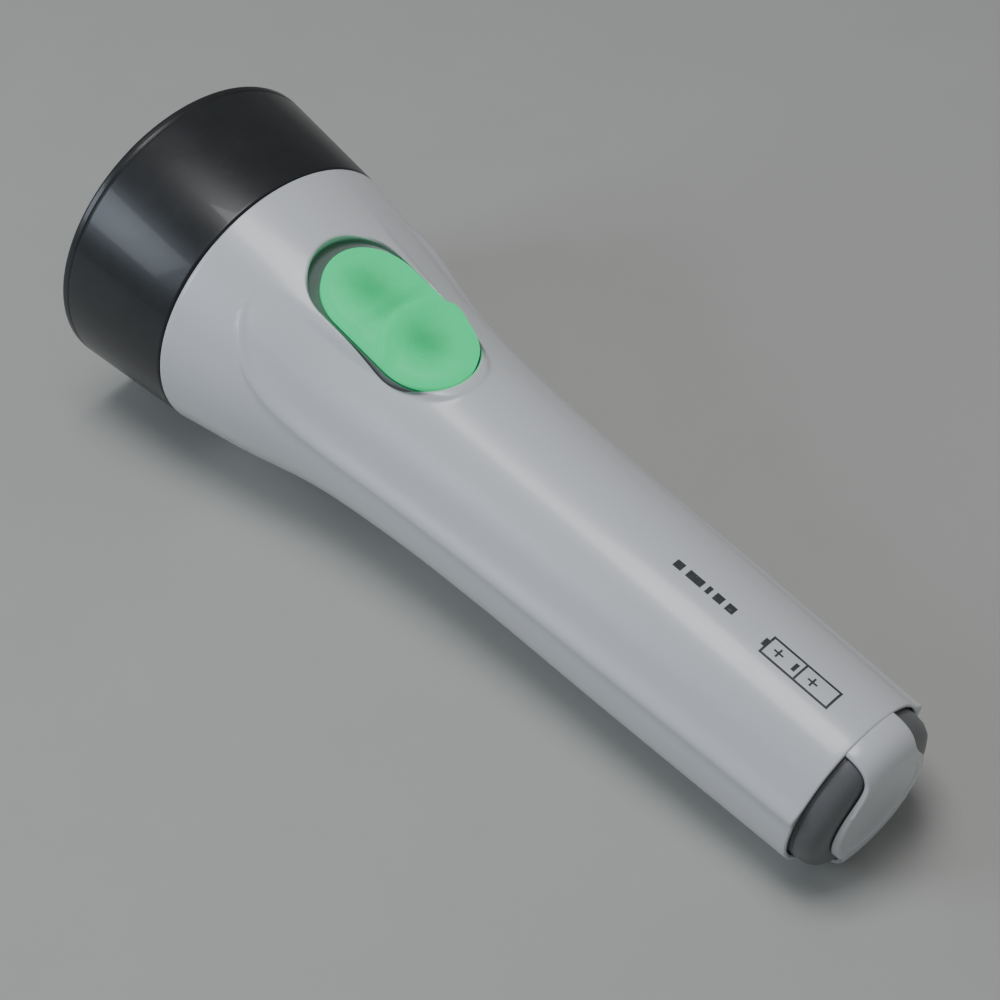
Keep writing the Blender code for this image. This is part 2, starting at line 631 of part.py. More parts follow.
def lamp(torch, looks):
    """Lamp on its board, its dropping resistor, and the holder with its contacts."""
    back = 149.1 * MM
    bulb = [(back, 0.0), (back, 4.4 * MM), (back + 1.0 * MM, 4.4 * MM), (back + 1.0 * MM, 3.9 * MM)]
    bulb += arc((157.0 * MM, 0.0), 3.9 * MM, 90, 0)
    bulb[-1] = (bulb[-1][0], 0.0)
    add_object("led_lamp", turned_solid(bulb, 20), looks["clear"], torch)
    board = [(147.2 * MM, 0.0), (147.2 * MM, 9.3 * MM), (148.8 * MM, 9.3 * MM), (148.8 * MM, 0.0)]
    add_object("led_board", turned_solid(board), looks["board"], torch)
    chip = block((146.1 * MM, 2.0 * MM, -0.8 * MM), (146.9 * MM, 5.2 * MM, 0.8 * MM))
    add_object("board_resistor", chip, looks["black"], torch, smooth=False)
    cup = [(137.0 * MM, 2.3 * MM), (137.0 * MM, 9.3 * MM), (146.9 * MM, 9.3 * MM), (146.9 * MM, 7.8 * MM),
           (138.5 * MM, 7.8 * MM), (138.5 * MM, 2.3 * MM)]
    add_object("lamp_holder", turned(cup, SMALL_STEPS), looks["white"], torch)
    rivet = [(136.0 * MM, 0.0), (136.0 * MM, 3.2 * MM), (136.3 * MM, 3.6 * MM), (136.7 * MM, 3.6 * MM),
             (136.7 * MM, 1.9 * MM), (142.0 * MM, 1.9 * MM), (142.0 * MM, 0.0)]
    add_object("front_rivet", turned_solid(rivet, 16), looks["brass"], torch)
    spring = coil(133.0 * MM, 2.7 * MM, (4.2 * MM, 3.2 * MM), 3.0, 0.5 * MM)
    add_object("front_spring", spring, looks["wire"], torch)
    low, high = LAMP_NECK_RADII[1] + FIT, LAMP_NECK_RADII[1] + 0.8 * MM
    ring = [(141.5 * MM, low), (141.5 * MM, high), (145.5 * MM, high), (145.5 * MM, low)]
    add_object("lamp_ring", turned(ring, SMALL_STEPS), looks["brass"], torch)


def lamp_strip(torch, metal):
    """The strip from the switch tray down to the ring round the reflector's neck."""
    path = [switch_to_tube(4.0 * MM, STRIP_HEIGHT), switch_to_tube(18.0 * MM, STRIP_HEIGHT)]
    path += [(x * MM, z * MM) for x, z in ((145.8, 21.5), (146.4, 16.0), (145.4, 13.4), (142.5, 12.8))]
    return add_object("lamp_strip", ribbon(path, 5.0 * MM, STRIP_THICKNESS), metal, torch, smooth=False)


# ---------------------------------------------------------------- assembly

def lengthen(torch):
    """Carry the plan to full length: stretch each mesh along the torch axis, ahead of the tail edge."""
    bpy.context.view_layer.update()
    for item in bpy.data.objects:
        if item.type == "MESH":
            to_torch = torch.matrix_world.inverted() @ item.matrix_world
            back = to_torch.inverted()
            for vert in item.data.vertices:
                place = to_torch @ vert.co
                place.x *= LENGTHEN if place.x > 0.0 else 1.0
                vert.co = back @ place
            item.data.update()


def stand_on_floor(torch):
    """Shift the torch so that the middle of its box's underside is the world origin."""
    bpy.context.view_layer.update()
    corners = [item.matrix_world @ vert.co for item in bpy.data.objects if item.type == "MESH"
               for vert in item.data.vertices]
    low = [min(corner[i] for corner in corners) for i in range(3)]
    high = [max(corner[i] for corner in corners) for i in range(3)]
    torch.location = (-(low[0] + high[0]) / 2, -(low[1] + high[1]) / 2, -low[2])


def main():
    clear_scene()
    tilt = math.atan2(RING_RADII[1] - TAIL_RADIUS, RING_END * LENGTHEN)
    torch = frame("torch_axis", (0.0, 0.0, 0.0), tilt)
    seat = frame("switch_seat", (SWITCH_X, 0.0, SWITCH_Z), SWITCH_SLOPE, torch)
    slide = frame("switch_slide", (0.0, 0.0, 0.0), 0.0, seat)

    white, black, grey = white_plastic(), black_plastic(), grey_plastic()
    tin, gold, wire, clear = tinned_steel(), brass(), spring_steel(), clear_plastic()
    jacket = cell_jacket()

    body_shell(torch, white)
    tail_cap(torch, grey)
    tail_bracket(torch, white)
    tail_contacts(torch, tin, wire)
    for name, place in (("rear_cell", 0), ("front_cell", 1)):
        cell(torch, name, CELL_START + place * CELL_PITCH, jacket, tin)

    switch_tray(seat, black)
    tray_screw(seat, wire, 1, "tray_screw_left")
    tray_screw(seat, wire, -1, "tray_screw_right")
    lamp_strip(torch, tin)
    switch_pad(slide, glow_plastic())
    switch_slider(slide, white)
    slide_contact(slide, gold)

    reflector(torch, mirror_coat())
    lens_and_gasket(torch, clear, black_rubber())
    lamp(torch, {"clear": clear, "board": circuit_board(), "black": black, "white": white, "brass": gold,
                 "wire": wire})
    head_ring(torch, black)
    lengthen(torch)
    stand_on_floor(torch)


main()
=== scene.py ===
# %% [markdown]
# # A hand torch with a glowing thumb slide
# The finished object is a white two-cell torch with a glossy black head ring, a green slide that glows
# after dark, and a white bracket over its grey tail plug. The imported CAD model is the fixed frame: it says
# where each piece is and which body carries it. This file gives every piece its fine shape and its finish.
# Here the frame is loaded, and the CAD pieces are kept in it.

import json
import math

import bmesh
import bpy
import numpy as np
from mathutils import Matrix


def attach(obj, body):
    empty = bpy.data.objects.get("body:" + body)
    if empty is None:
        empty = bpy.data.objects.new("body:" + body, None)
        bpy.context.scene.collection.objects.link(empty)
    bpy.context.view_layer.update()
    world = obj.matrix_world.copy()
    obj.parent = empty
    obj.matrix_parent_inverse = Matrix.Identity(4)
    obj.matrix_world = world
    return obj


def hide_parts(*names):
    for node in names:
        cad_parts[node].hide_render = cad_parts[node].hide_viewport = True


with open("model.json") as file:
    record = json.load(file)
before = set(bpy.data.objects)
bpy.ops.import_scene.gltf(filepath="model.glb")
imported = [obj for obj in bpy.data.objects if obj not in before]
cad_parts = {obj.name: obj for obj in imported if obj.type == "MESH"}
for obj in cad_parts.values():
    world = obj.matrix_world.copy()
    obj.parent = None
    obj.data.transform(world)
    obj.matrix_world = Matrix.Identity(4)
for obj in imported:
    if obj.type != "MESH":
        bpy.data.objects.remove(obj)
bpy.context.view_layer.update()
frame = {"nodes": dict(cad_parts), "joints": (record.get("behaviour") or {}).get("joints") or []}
MM = 0.001

# %% [markdown]
# ## The torch's own axes
# The torch lies on its wide head, so its axis is tipped. Every shape below is easier to write along that
# axis: x from the tail edge of the tube to the beam, y to the side, z through the switch. The head's hinge
# gives the axis, and the tube's rearmost point gives x = 0. The switch has a frame of its own, sloped with
# the flare of the tube, whose slope is the angle between the slide joint and the torch axis. Like the CAD,
# the shapes are drawn on a plan that is 1.08 times shorter than the torch ahead of its tail edge, and placed
# points are lengthened.

# %% Axes of the torch and of the switch
JOINTS = {joint["name"]: joint for joint in frame["joints"]}
ALONG = np.array(JOINTS["head_turn"]["axis"])
SIDE = np.array((0.0, 1.0, 0.0))
UP = np.cross(ALONG, SIDE)
ON_AXIS = np.array(JOINTS["head_turn"]["pos_m"])


def node_points(node):
    """All vertices of a CAD node as one array."""
    vertices = frame["nodes"][node].data.vertices
    flat = np.empty(len(vertices) * 3)
    vertices.foreach_get("co", flat)
    return flat.reshape(-1, 3)


ORIGIN = ON_AXIS + ALONG * ((node_points("body_shell") - ON_AXIS) @ ALONG).min()
TILT = math.atan2(ALONG[2], ALONG[0])
SLIDE = np.array(JOINTS["switch_slide"]["axis"])
LENGTHEN = 1.08
SWITCH_SLOPE = math.atan(math.tan(math.atan2(SLIDE[2], SLIDE[0]) - TILT) * LENGTHEN)
SWITCH_X = 123.2 * MM
SWITCH_Z = 27.6 * MM


def torch_place(x, y, z):
    """World point = origin + lengthened x along the axis + y to the side + z up through the switch."""
    x, y, z = np.broadcast_arrays(x, y, z)
    x = x * np.where(x > 0, LENGTHEN, 1.0)
    return ORIGIN + x[..., None] * ALONG + y[..., None] * SIDE + z[..., None] * UP


def torch_plan(points):
    """Plan coordinates of world points: the way back from torch_place."""
    plan = (points - ORIGIN) @ np.column_stack((ALONG, SIDE, UP))
    plan[:, 0] /= np.where(plan[:, 0] > 0, LENGTHEN, 1.0)
    return plan


def switch_place(t, q, n):
    """Torch coordinates of a point t along, q across and n above the switch's sloped plane."""
    x = SWITCH_X + t * math.cos(SWITCH_SLOPE) - n * math.sin(SWITCH_SLOPE)
    z = SWITCH_Z + t * math.sin(SWITCH_SLOPE) + n * math.cos(SWITCH_SLOPE)
    return x, q, z


def switch_plan(x, z):
    """The way back from switch_place: t along and n above the switch's plane."""
    dx, dz = x - SWITCH_X, z - SWITCH_Z
    return (dx * math.cos(SWITCH_SLOPE) + dz * math.sin(SWITCH_SLOPE),
            dz * math.cos(SWITCH_SLOPE) - dx * math.sin(SWITCH_SLOPE))


print("tilt", round(math.degrees(TILT), 2), "slope", round(math.degrees(SWITCH_SLOPE), 2),
      "tail edge at", np.round(ORIGIN / MM, 2))

# %% [markdown]
# ## Grids into meshes
# Every new piece is a grid of points worked out at once with numpy. One function joins the grid into
# four-sided faces and one turns points and faces into an object: it closes the seams and the poles, points
# the faces outwards and keeps hard edges hard. Writing these two once keeps each piece down to its formula.


# %% Mesh helpers
SHARP = math.radians(38.0)
TUBE_SHARP = math.radians(50.0)


def quads(index, wrap_rows=False, wrap_columns=False):
    """Faces between neighbours of a table of vertex numbers, joined end to end where it wraps."""
    if wrap_rows:
        index = np.vstack((index, index[:1]))
    if wrap_columns:
        index = np.hstack((index, index[:, :1]))
    corners = (index[:-1, :-1], index[1:, :-1], index[1:, 1:], index[:-1, 1:])
    return np.stack(corners, axis=-1).reshape(-1, 4)


def mesh_object(name, points, faces, sharp=SHARP):
    """A closed object from world points and faces, welded, facing out and smooth between hard edges."""
    mesh = bpy.data.meshes.new(name)
    mesh.from_pydata(points.reshape(-1, 3).tolist(), [], faces.tolist())
    bm = bmesh.new()
    bm.from_mesh(mesh)
    bmesh.ops.remove_doubles(bm, verts=bm.verts, dist=2e-6)
    bmesh.ops.dissolve_degenerate(bm, edges=bm.edges, dist=1e-7)
    bmesh.ops.recalc_face_normals(bm, faces=bm.faces)
    if bm.calc_volume(signed=True) < 0.0:
        bmesh.ops.reverse_faces(bm, faces=bm.faces)
    bm.to_mesh(mesh)
    bm.free()
    mesh.shade_smooth()
    mesh.set_sharp_from_angle(angle=sharp)
    piece = bpy.data.objects.new(name, mesh)
    bpy.context.scene.collection.objects.link(piece)
    return piece


def grid_object(name, points, wrap_rows=False, wrap_columns=True, sharp=SHARP):
    """One piece from one grid of points."""
    index = np.arange(points.shape[0] * points.shape[1]).reshape(points.shape[:2])
    return mesh_object(name, points, quads(index, wrap_rows, wrap_columns), sharp)


def seat(piece, body, slot, finish, *nodes):
    """Give a piece its finish and its body, and let it stand in for CAD nodes. The slot is not used."""
    piece.data.materials.clear()
    piece.data.materials.append(finish)
    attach(piece, body)
    if nodes:
        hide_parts(*nodes)
    triangles = sum(len(face.vertices) - 2 for face in piece.data.polygons)
    print(f"{piece.name}: {triangles} triangles on {body}")
    return piece


def notched(piece, tool):
    """Cut a tool piece out of a piece exactly, and drop the tool."""
    step = piece.modifiers.new("notch", "BOOLEAN")
    step.operation = "DIFFERENCE"
    step.object = tool
    bpy.context.view_layer.update()
    result = bpy.data.meshes.new_from_object(piece.evaluated_get(bpy.context.evaluated_depsgraph_get()))
    piece.modifiers.clear()
    piece.data = result
    result.shade_smooth()
    result.set_sharp_from_angle(angle=SHARP)
    bpy.data.objects.remove(tool)
    return piece


# %% [markdown]
# ## Turned shapes and soft corners
# Most of a torch is turned: a profile spun about the axis. Moulded and pressed edges are never quite sharp,
# so each profile corner carries the length of its rounding. A parabola through the corner's two cut points
# stands in for the arc, which needs no case for sharp or blunt corners.


# %% Profile helpers
def rounded(corners, steps=4):
    """Points of a profile whose corner (x, r, cut) is replaced by a parabola that starts and ends a cut
    away from it: (1-u)^2 start + 2u(1-u) corner + u^2 end. Two cuts too long for one side are squeezed."""
    corners = np.array(corners, float)
    here, cut = corners[:, :2], corners[:, 2:]
    before, after = np.roll(here, 1, axis=0) - here, np.roll(here, -1, axis=0) - here
    both_cuts = np.maximum(cut + np.roll(cut, -1, axis=0), 1e-9)
    squeeze = np.minimum(0.98 * np.linalg.norm(after, axis=1, keepdims=True) / both_cuts, 1.0)
    cut = cut * np.minimum(squeeze, np.roll(squeeze, 1, axis=0))
    start = here + cut * before / np.linalg.norm(before, axis=1, keepdims=True)
    end = here + cut * after / np.linalg.norm(after, axis=1, keepdims=True)
    u = np.linspace(0.0, 1.0, steps + 1)[None, :, None]
    curve = (1 - u) ** 2 * start[:, None] + 2 * u * (1 - u) * here[:, None] + u ** 2 * end[:, None]
    keep = [curve[i] if corners[i, 2] > 0 else here[i:i + 1] for i in range(len(corners))]
    return np.vstack(keep) * MM


def spun(profile, steps, swell=None):
    """Grid of a profile (x, r) spun about the torch axis; swell(x, angle) may add to the radius."""
    angle = 2 * math.pi * np.arange(steps)[None, :] / steps - math.pi
    x, radius = profile[:, :1] + 0 * angle, profile[:, 1:] + 0 * angle
    if swell is not None:
        radius = radius + swell(x, angle)
    return torch_place(x, radius * np.sin(angle), radius * np.cos(angle))


def turned_piece(name, steps, corners):
    """A turned piece; a profile that starts off the axis is joined end to start, as a ring."""
    return grid_object(name, spun(rounded(corners), steps), wrap_rows=corners[0][1] > 0)


def smoothstep(low, high, value):
    """0 below low, 1 above high, and 3u^2 - 2u^3 between them."""
    u = np.clip((value - low) / (high - low), 0.0, 1.0)
    return u * u * (3 - 2 * u)


def softly_above(a, b, blend):
    """The larger of two heights with a fillet where they cross: half of a + b + sqrt((a-b)^2 + blend^2)."""
    return (a + b + np.sqrt((a - b) ** 2 + blend * blend)) / 2


# %% [markdown]
# ## Finishes as arithmetic
# A finish is a small sum: a base colour, patterns that shift it, and a height that feeds the bump. Wiring
# such sums by hand hides them, so a socket is wrapped in a class that adds the Math node when two of them
# are added or multiplied. Patterns read coordinates turned into the torch's own axes by a Mapping node, so
# a scratch that runs round the tube is a pattern stretched across x.


# %% Sockets that do arithmetic
class Wire:
    """A socket of a finish that can be used in plain sums."""

    def __init__(self, finish, socket):
        self.finish = finish
        self.socket = socket

    def __add__(self, other):
        return self.finish.math("ADD", self, other)

    def __sub__(self, other):
        return self.finish.math("SUBTRACT", self, other)

    def __rsub__(self, other):
        return self.finish.math("SUBTRACT", other, self)

    def __mul__(self, other):
        return self.finish.math("MULTIPLY", self, other)

    def __abs__(self):
        return self.finish.math("ABSOLUTE", self)

    def highest(self, other):
        return self.finish.math("MAXIMUM", self, other)

    def lowest(self, other):
        return self.finish.math("MINIMUM", self, other)

    __radd__ = __add__
    __rmul__ = __mul__


class Finish:
    """A material under construction, with the few patterns that the torch's finishes share."""

    def __init__(self, name):
        self.material = bpy.data.materials.new(name)
        self.material.use_nodes = True
        self.tree = self.material.node_tree
        self.tree.nodes.clear()

    def node(self, kind, settings, sockets):
        """Any node: its settings first, then values or links for its sockets by name or number."""
        made = self.tree.nodes.new(kind)
        for key, value in settings.items():
            setattr(made, key, value)
        for key, value in sockets.items():
            if isinstance(value, Wire):
                self.tree.links.new(value.socket, made.inputs[key])
            else:
                made.inputs[key].default_value = value
        return made

    def wire(self, kind, settings, sockets, output=0):
        """One output of a new node."""
        return Wire(self, self.node(kind, settings, sockets).outputs[output])

    def math(self, operation, *values):
        """A Math node for one sum."""
        return self.wire("ShaderNodeMath", {"operation": operation}, dict(enumerate(values)))

    def torch_position(self):
        """The surface's place on the torch's plan, in millimetres."""
        here = self.wire("ShaderNodeTexCoord", {}, {}, "Object")
        turn = np.array((ALONG, SIDE, UP))
        shift = tuple(-(turn @ ORIGIN) / MM)
        there = self.wire("ShaderNodeMapping", {"vector_type": "POINT"},
                          {"Vector": here, "Location": shift, "Rotation": (0.0, TILT, 0.0),
                           "Scale": (1 / MM, 1 / MM, 1 / MM)})
        return self.stretched(there, (1 / LENGTHEN, 1.0, 1.0))

    def split(self, vector):
        """The three coordinates of a vector."""
        parts = self.node("ShaderNodeSeparateXYZ", {}, {0: vector})
        return [Wire(self, output) for output in parts.outputs]

    def stretched(self, vector, scale):
        """A vector scaled axis by axis, which stretches the patterns that read it."""
        return self.wire("ShaderNodeVectorMath", {"operation": "MULTIPLY"}, {0: vector, 1: scale})

    def noise(self, vector, scale, detail=3.0, roughness=0.55):
        """Soft noise, about 0.5 in the mean; scale is in lumps per millimetre."""
        return self.wire("ShaderNodeTexNoise", {},
                         {"Vector": vector, "Scale": scale, "Detail": detail, "Roughness": roughness})

    def cells(self, vector, scale):
        """Distance to the nearest point of a random scatter."""
        return self.wire("ShaderNodeTexVoronoi", {"feature": "F1"}, {"Vector": vector, "Scale": scale})

    def step(self, value, low, high, start=0.0, end=1.0):
        """Eased step: start below low, end above high."""
        return self.wire("ShaderNodeMapRange", {"interpolation_type": "SMOOTHSTEP"},
                         {"Value": value, "From Min": low, "From Max": high, "To Min": start, "To Max": end})

    def mix(self, factor, first, second):
        """First colour at factor 0, second at 1; each is a socket or three numbers."""
        return self.wire("ShaderNodeMix", {"data_type": "RGBA"},
                         {0: factor, 6: first if isinstance(first, Wire) else (*first, 1.0),
                          7: second if isinstance(second, Wire) else (*second, 1.0)}, 2)

    def bump(self, height, depth):
        """A normal from a height that runs 0 to 1; depth is the full swing in metres."""
        return self.wire("ShaderNodeBump", {}, {"Height": height, "Distance": depth, "Strength": 1.0})

    def done(self, sockets):
        """Close the finish with a Principled shader."""
        shader = self.node("ShaderNodeBsdfPrincipled", {}, sockets)
        self.node("ShaderNodeOutputMaterial", {}, {"Surface": Wire(self, shader.outputs[0])})
        print("finish", self.material.name, "with", len(self.tree.nodes), "nodes")
        return self.material


# %% [markdown]
# ## White plastic
# The tube and the tail bracket are moulded in glossy white. Such mouldings are not flat white: the surface
# carries a very fine spark texture, broad flow marks, hair scratches that run round the tube from being
# turned in the hand, and a greyer bloom where it rubs. Noise at four scales gives these. The tube also
# carries two small printed marks near its tail, drawn here as a plain battery sign and a row of dashes, and
# painted shade darkens the inside of the slide's pocket.


# %% White plastic finish
PRINT_GREY = (0.045, 0.048, 0.052)
WHITE = (0.80, 0.815, 0.835)
WHITE_SHADE = (0.72, 0.735, 0.765)
# Painted shade inside the slide's pocket: its dark green-grey colour, then the mask's centre, reach and
# depth.
POCKET_PAINTED_SHADE = (0.035, 0.055, 0.05)
SHADE_CENTRE = 1.5
SHADE_STRAIGHT = 9.5
SHADE_REACH = (11.9, 12.4)
SHADE_DEPTH = (-2.0, -0.6)


def bar(finish, x, y, centre, half):
    """Distance outside a rectangle: the larger of |x - cx| - hx and |y - cy| - hy."""
    return (abs(x - centre[0]) - half[0]).highest(abs(y - centre[1]) - half[1])


def battery_mark(finish, x, y):
    """Printed marks as one mask: two cells in outline, their caps and signs, then a row of dashes."""
    shape = abs(bar(finish, x, y, (16.3, 0.6), (8.0, 2.3))) - 0.26
    for centre, half in (((24.8, 0.6), (0.5, 1.0)), ((16.3, 0.6), (0.24, 2.3)), ((17.6, 0.6), (0.42, 1.0)),
                         ((21.6, 0.6), (1.1, 0.22)), ((21.6, 0.6), (0.22, 1.1)),
                         ((13.4, 0.6), (1.1, 0.22)), ((13.4, 0.6), (0.22, 1.1))):
        shape = shape.lowest(bar(finish, x, y, centre, half))
    for place, width in ((33.9, 1.0), (36.9, 1.0), (39.4, 0.5), (42.8, 1.9), (46.9, 1.0)):
        shape = shape.lowest(bar(finish, x, y, (place, 0.0), (width, 1.0)))
    return finish.step(shape, -0.04, 0.04, 1.0, 0.0)


def painted_pocket_shade(finish, x, y, z):
    """Mask of painted shade on the pocket's inside, where the white is darkened: near the pocket's middle
    line and below the switch plane, both by eased steps."""
    cosine, sine = math.cos(SWITCH_SLOPE), math.sin(SWITCH_SLOPE)
    ahead, above = x - SWITCH_X / MM, z - SWITCH_Z / MM
    beyond = (abs(ahead * cosine + above * sine - SHADE_CENTRE) - SHADE_STRAIGHT).highest(0.0)
    reach = finish.math("SQRT", beyond * beyond + y * y)
    depth = above * cosine - ahead * sine
    return finish.step(reach, *SHADE_REACH, 1.0, 0.0) * finish.step(depth, *SHADE_DEPTH, 1.0, 0.0)


def white_finish(name, printed):
    """Glossy white; the tube's own version adds painted shade inside the pocket and the slightly worn print.
    """
    finish = Finish(name)
    place = finish.torch_position()
    x, y, z = finish.split(place)
    flow = finish.noise(finish.stretched(place, (0.25, 1.0, 1.0)), 0.05, 2.0)
    spark = finish.noise(place, 9.0, 2.0)
    round_scratch = finish.noise(finish.stretched(place, (14.0, 0.5, 0.5)), 0.9, 4.0)
    long_scratch = finish.noise(finish.stretched(place, (0.12, 5.0, 5.0)), 0.8, 4.0)
    hair = finish.step(round_scratch, 0.66, 0.72) * 0.5 + finish.step(long_scratch, 0.68, 0.74)
    rub = finish.step(finish.noise(place, 0.35, 5.0, 0.7), 0.55, 0.80)
    colour = finish.mix(flow * 0.7 + rub * 0.15, WHITE, WHITE_SHADE)
    roughness = 0.24 + flow * 0.10 + hair * 0.10 + rub * 0.08
    if printed:
        # Painted shade darkens the inside of the slide's pocket.
        colour = finish.mix(painted_pocket_shade(finish, x, y, z) * 0.8, colour, POCKET_PAINTED_SHADE)
        ink = battery_mark(finish, x, y) * finish.step(z, 5.0, 8.0)
        worn = finish.step(finish.noise(place, 1.6, 5.0, 0.7), 0.30, 0.42)
        ink = ink * (0.75 + worn * 0.25)
        colour = finish.mix(ink, colour, PRINT_GREY)
        roughness = roughness + ink * 0.18
    normal = finish.bump(spark * 0.5 + round_scratch * 0.25 - hair * 0.25, 0.012 * MM)
    return finish.done({"Base Color": colour, "Roughness": roughness, "Normal": normal,
                        "Coat Weight": 0.25, "Coat Roughness": 0.12, "IOR": 1.50,
                        "Subsurface Weight": 0.08, "Subsurface Radius": (0.004, 0.004, 0.004)})


white_printed = white_finish("white_printed_plastic", True)
white_plain = white_finish("white_plain_plastic", False)

# %% [markdown]
# ## Glossy black, matt grey and rubber
# The head ring is a deep glossy black with fine scratches round it from screwing the head on and off, and a
# little dust. The tail plug is a soft mid grey with a coarser spark texture. The lens seal is dull rubber.
# They share one recipe: a colour pulled two ways by noise, scratches in the roughness, grain in the bump.


# %% Dark plastics and rubber
def moulded_finish(name, deep, pale, roughness, grain, scratch, coat=0.0):
    """Moulded plastic or rubber: two near colours, a grain size per millimetre and a scratch share."""
    finish = Finish(name)
    place = finish.torch_position()
    cloud = finish.noise(place, 0.12, 4.0)
    speck = finish.noise(place, grain, 3.0)
    dust = finish.step(finish.cells(place, 0.9), 0.06, 0.11, 1.0, 0.0)
    dust = dust * finish.step(finish.noise(place, 0.25, 2.0), 0.50, 0.62)
    rings = finish.noise(finish.stretched(place, (12.0, 0.35, 0.35)), 0.7, 5.0)
    lines = finish.step(rings, 0.60, 0.70) * scratch
    colour = finish.mix(cloud * 0.6 + lines * 0.4 + dust * 0.5, deep, pale)
    shine = roughness * (0.85 + cloud * 0.3) + lines * 0.12 + dust * 0.25
    normal = finish.bump(speck * 0.6 + rings * 0.4 * scratch, 0.012 * MM)
    return finish.done({"Base Color": colour, "Roughness": shine, "Normal": normal,
                        "Coat Weight": coat, "Coat Roughness": 0.06, "IOR": 1.50})


# name: deep and pale colour, roughness, grain, scratch share, coat
MOULDED = {
    "black_gloss_plastic": ((0.016, 0.017, 0.018), (0.036, 0.039, 0.042), 0.33, 8.0, 1.0, 0.15),
    "black_tray_plastic": ((0.014, 0.014, 0.015), (0.03, 0.03, 0.03), 0.42, 5.0, 0.3),
    "grey_matt_plastic": ((0.13, 0.135, 0.14), (0.20, 0.205, 0.21), 0.42, 5.0, 0.4, 0.1),
    "seal_rubber": ((0.018, 0.018, 0.018), (0.04, 0.04, 0.04), 0.72, 4.0, 0.2),
    "white_fitting_plastic": ((0.70, 0.71, 0.70), (0.78, 0.79, 0.78), 0.40, 5.0, 0.4),
}
black_gloss, black_tray, grey_matt, seal_rubber, white_fitting = (
    moulded_finish(name, *values) for name, values in MOULDED.items())

# %% [markdown]
# ## Metals
# Springs and strips are plated steel, the contacts brass. Drawn and rolled metal shows fine lines along its
# length, a mottle where plating is thicker, and small tarnish spots. The reflector is plastic with a bright
# vacuum coat: nearly a perfect mirror, broken by a faint ripple that softens the beam.


# %% Metal finishes
def metal_finish(name, bright, dull, roughness, lines):
    """Plated metal: two tones, a base roughness and how strongly its drawing lines show."""
    finish = Finish(name)
    place = finish.torch_position()
    mottle = finish.noise(place, 0.5, 5.0, 0.65)
    drawn = finish.noise(finish.stretched(place, (0.3, 9.0, 9.0)), 1.0, 4.0)
    spot = finish.step(finish.noise(place, 1.1, 6.0, 0.75), 0.62, 0.76)
    colour = finish.mix(mottle * 0.5 + spot * 0.5, bright, dull)
    shine = roughness + mottle * 0.12 + spot * 0.25 + drawn * 0.10 * lines
    normal = finish.bump(drawn * lines + mottle * 0.3, 0.010 * MM)
    return finish.done({"Base Color": colour, "Metallic": 1.0, "Roughness": shine, "Normal": normal})


tin = metal_finish("tinned_strip", (0.78, 0.78, 0.76), (0.52, 0.51, 0.48), 0.20, 0.8)
spring_wire = metal_finish("spring_wire", (0.66, 0.66, 0.67), (0.36, 0.35, 0.34), 0.16, 0.3)
brass = metal_finish("contact_brass", (0.86, 0.64, 0.29), (0.52, 0.35, 0.15), 0.20, 0.6)


def mirror_finish():
    """Vacuum-coated plastic: a near mirror with haze in broad patches."""
    finish = Finish("reflector_mirror")
    place = finish.torch_position()
    ripple = finish.noise(place, 0.55, 2.0)
    haze = finish.step(finish.noise(place, 0.18, 5.0), 0.45, 0.75)
    colour = finish.mix(haze, (0.92, 0.92, 0.93), (0.80, 0.81, 0.84))
    return finish.done({"Base Color": colour, "Metallic": 1.0, "Roughness": 0.05 + haze * 0.07,
                        "Normal": finish.bump(ripple, 0.05 * MM)})


mirror = mirror_finish()


# %% [markdown]
# ## The glowing slide
# The slide is moulded in plastic loaded with a glow pigment. It gives off a strong blue-green light after
# charging. Most of its colour is that emission, over a deep green base, so that the white lights don't
# bleach it. Pigment grains speckle it slightly, and painted shade takes the glow deeper green in its dishes,
# on the rib's front and down its sides; that shade is kept in the mesh as an attribute that the finish reads.


# %% Glow plastic finish
# The glow's colours: the second and the fourth are the deeper tones of painted shade and grain.
GLOW_BASE = (0.0, 0.12, 0.06)
GLOW_BASE_GRAIN_AND_PAINTED_SHADE = (0.0, 0.12, 0.05)
GLOW_HIGH = (0.0, 0.80, 0.27)
GLOW_GRAIN_AND_PAINTED_SHADE = (0.0, 0.28, 0.06)


def glow_finish():
    """Glow plastic: one mask, low, of painted shade and pigment grain, takes emission and base to deeper
    tones.
    """
    finish = Finish("glow_plastic")
    place = finish.torch_position()
    # The attribute holds painted shade: the dishes, the rib's front and the slide's sides.
    depth = finish.wire("ShaderNodeAttribute", {"attribute_name": "dish_depth"}, {}, "Fac")
    grain = finish.noise(place, 3.2, 4.0, 0.7)
    cloud = finish.noise(place, 0.22, 3.0)
    speck = finish.step(finish.cells(place, 1.6), 0.05, 0.16, 1.0, 0.0)
    low = depth * 0.85 + (grain - 0.5) * 0.35 + (cloud - 0.5) * 0.30 + speck * 0.12
    return finish.done({"Base Color": finish.mix(low, GLOW_BASE, GLOW_BASE_GRAIN_AND_PAINTED_SHADE), "IOR": 1.40,
                        "Roughness": 0.42 + grain * 0.15, "Normal": finish.bump(grain, 0.02 * MM),
                        "Emission Color": finish.mix(low, GLOW_HIGH, GLOW_GRAIN_AND_PAINTED_SHADE), "Emission Strength": 1.0})


glow = glow_finish()

# %% [markdown]
# ## The tube's skin as one formula
# The tube is a slim handle that flares into the head. A low ridge runs along each side, and beside the
# switch it sweeps up to a pointed tip. It could be sculpted, but the surface is a radius for every place x
# and angle, so it is written as one: a smooth curve through a few radii, plus a soft swell along the ridge.


